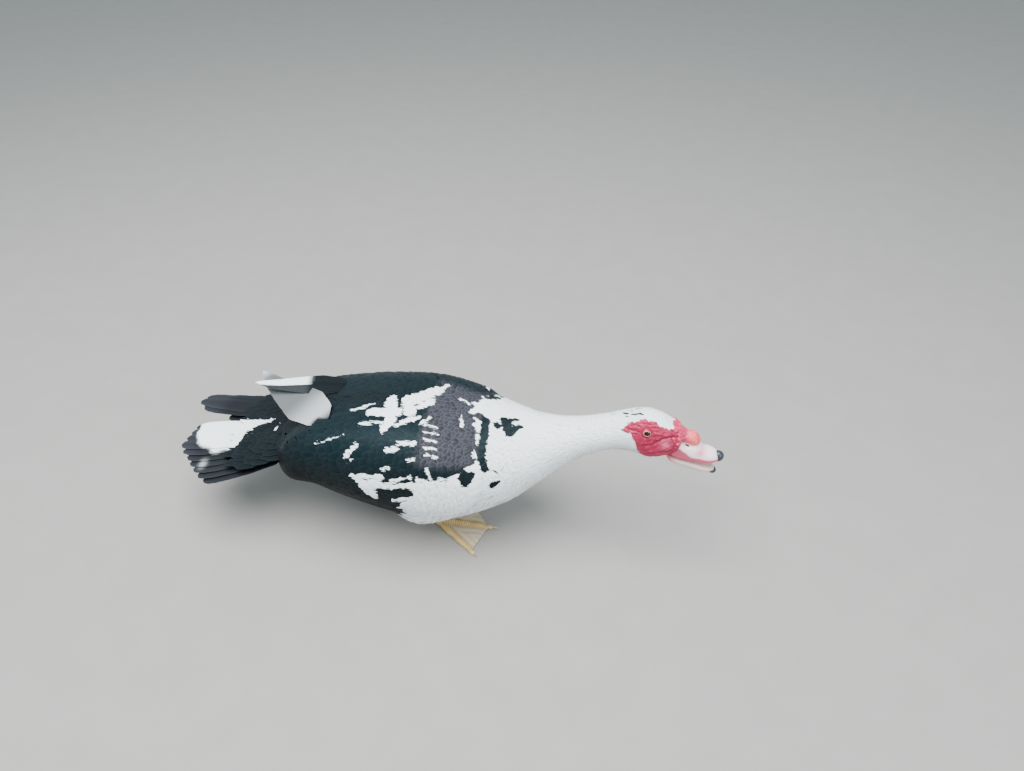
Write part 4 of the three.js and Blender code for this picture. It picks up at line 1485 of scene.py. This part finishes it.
tail_finish = feather_finish("tail_feathers_finish", 0.15)
for lobe_name, lobe, spreads in (("near", near_lobe, np.linspace(-26, 0, 10)),
                                 ("far", far_lobe, np.linspace(6, 26, 9))):
    count = len(spreads)
    full = lobe(spreads)
    along, across, up, shares, faces = vanes(
        full, np.full(count, 27.0), rings=34, columns=7, low=0.0, thick=0.6, tip=7, narrow_root=0.6,
        ragged=0.025)
    inward = np.abs(spreads - spreads[0 if lobe_name == "far" else -1]) / 26
    layer = 2.6 - 5.0 * inward[:, None]
    points = on_tail(along, spreads[:, None], across, up + layer, full[:, None])
    spread_here = spreads[:, None] + across / (2.3 + 0.012 * along)
    sideways, backward = tail_ways(spreads)
    directions = shaded(straight_up, sideways, backward, shares, 0.22, two_sided=True)
    home_from = 0.5 if lobe_name == "far" else 0
    home = home_beside(np.linspace(0.05, 0.4, count) + home_from, np.full(count, 0.3))
    coat("tail_feathers_" + lobe_name, points, directions, faces, shares, home,
         tail_colours(along, spread_here), tail_finish, "dark_feather",
         ("tail",) if lobe_name == "near" else ())

# %% Tail coverts, above and below the tail's root
coverts_in_row = 15


def on_covert(side_up):
    def surface(reach, spread, aside, lift):
        tail = on_tail(np.maximum(reach, 0), spread, aside, 0, 180.0)
        tail[..., 0] -= np.minimum(reach, 0)
        swell = 11 * np.exp(-((reach + 4) / 42) ** 2) * np.cos(np.radians(spread * 2.2))
        tail[..., 2] += side_up * (4.5 + swell + lift)
        return tail
    return surface


for name, side_up, reach_to, spread_to in (("upper", 1, 62, 29), ("lower", -1, 60, 19)):
    rows = np.arange(-14, reach_to, 9.0)
    reach = np.repeat(rows, coverts_in_row)
    half_step = np.repeat((np.arange(len(rows)) % 2) * 2.0, coverts_in_row)
    spread = np.tile(np.linspace(-28, 28, coverts_in_row), len(rows)) + half_step
    reach = reach + (random.random(len(reach)) - 0.5) * 5
    fits = (reach < reach_to - 22 * (spread / 28) ** 2) & (np.abs(spread) < spread_to)
    reach, spread = reach[fits], spread[fits]
    count = len(reach)
    along, across, up, shares, faces = vanes(36 + 12 * random.random(count), np.full(count, 17.0),
                                             rings=12, columns=5, low=-3.5, high=-0.2, arch=0.06)
    surface = on_covert(side_up)
    reach_here, aside_here = reach[:, None] + along, across * side_up
    points = surface(reach_here, spread[:, None], aside_here, up)
    backward = unit(surface(reach_here + 5, spread[:, None], aside_here, up) - points)
    sideways = unit(surface(reach_here, spread[:, None], aside_here + 5 * side_up, up) - points)
    directions = shaded(unit(np.cross(sideways, backward)), sideways, backward, shares, 0.22)
    none = np.zeros(along.shape)
    spread_here = spread[:, None] + aside_here / 2.6
    dashes = streaks(reach_here, spread_here, covert_dashes, mm_per_degree=2.6)
    white = np.maximum(tail_colours(reach_here, spread_here)[..., 0], dashes) * (side_up > 0)
    colours = np.stack([white, 0.3 + none, none], -1)
    home = home_beside((reach + 20) / 120, 0.5 + 0.2 * side_up + spread / 28 * 0.12)
    coat("tail_coverts_" + name, points, directions, faces, shares, home, colours, coat_finish,
         "dark_feather")

# %% [markdown]
# The folded flight feathers reach past the wings and cross over the rump. The right wing's are a
# broad grey blade, and the left wing's are dark with a thin bright feather at the edge. Each blade
# is a stack of long narrow vanes whose tips step back one after another.

# %% Crossed flight feathers
blades = {
    "right": {"root": (-155, -43, 197), "tip": (-294, 50, 188), "width": 62, "roll": -16},
    "left": {"root": (-150, 38, 196), "tip": (-280, 7, 202), "width": 46, "roll": 4}}
blade_width = table([(0, 0.5), (0.12, 0.78), (0.3, 0.98), (0.5, 0.76), (0.75, 0.48), (1, 0.36)])
quills_in_blade = 7


def blade_colours(name, order, u):
    if name == "right":
        past_root = ease(0.0, 0.03, u - (0.05 + 0.04 * np.sin(order * 40)))
        white = (0.44 - 0.32 * ease(0.12, 0.42, u) + 0.4 * ease(0.85, 1.0, u)) * past_root
    else:
        white = np.where(order < 0.3, 1.0, 0.03) * ease(0.4, 0.48, u)
    white = np.clip(white, 0, 1)
    greyed = 0.3 * (1 - white) * (name == "right")
    return np.stack([white, 0.3 * (1 - white), greyed], -1)


blade_finish = feather_finish("flight_feathers_finish", 0.3)
for name, blade in blades.items():
    root, tip = np.array(blade["root"], float), np.array(blade["tip"], float)
    line = tip - root
    full = np.linalg.norm(line)
    ahead = line / full
    aside = np.array([-ahead[1], ahead[0], 0])
    aside /= np.linalg.norm(aside)
    above = np.cross(ahead, aside)
    above *= np.sign(above[2])
    order = np.arange(quills_in_blade) / (quills_in_blade - 1)
    lengths = full * (1 - 0.13 * order)
    width = blade["width"] * 0.4
    along, across, up, shares, faces = vanes(
        lengths, np.full(quills_in_blade, width), rings=36, columns=7, low=0.0, thick=0.5, arch=0.04,
        tip=5, narrow_root=0.7, ragged=0.03)
    share = along / full
    narrowing = 1 - 0.45 * share ** 1.5
    offset = (order[:, None] - 0.5) * (blade["width"] * blade_width(share) - width * narrowing)
    stack = 1.4 - 2.6 * order[:, None]
    roll = np.radians(blade["roll"] * (1 - share))[..., None]
    across_way = aside * np.cos(roll) + above * np.sin(roll)
    above_way = above * np.cos(roll) - aside * np.sin(roll)
    points = (root + ahead * along[..., None] + across_way * (offset + across * narrowing)[..., None]
              + above_way * (up + stack)[..., None])
    directions = shaded(above_way, across_way, ahead, shares, 0.2, two_sided=True)
    colours = blade_colours(name, np.broadcast_to(order[:, None], along.shape), share)
    home = home_beside(0.46 + 0.03 * (name == "left") + 0 * order, 0.05 + 0.9 * order)
    coat("flight_feathers_" + name, points, directions, faces, shares, home, colours, blade_finish,
         "white_feather", ("flight_" + name,))

# %% [markdown]
# The imported solids fix the size, and the last step prints how many triangles the coat has.

# %% Size of the coat
print("coat of", coat_total, "triangles")
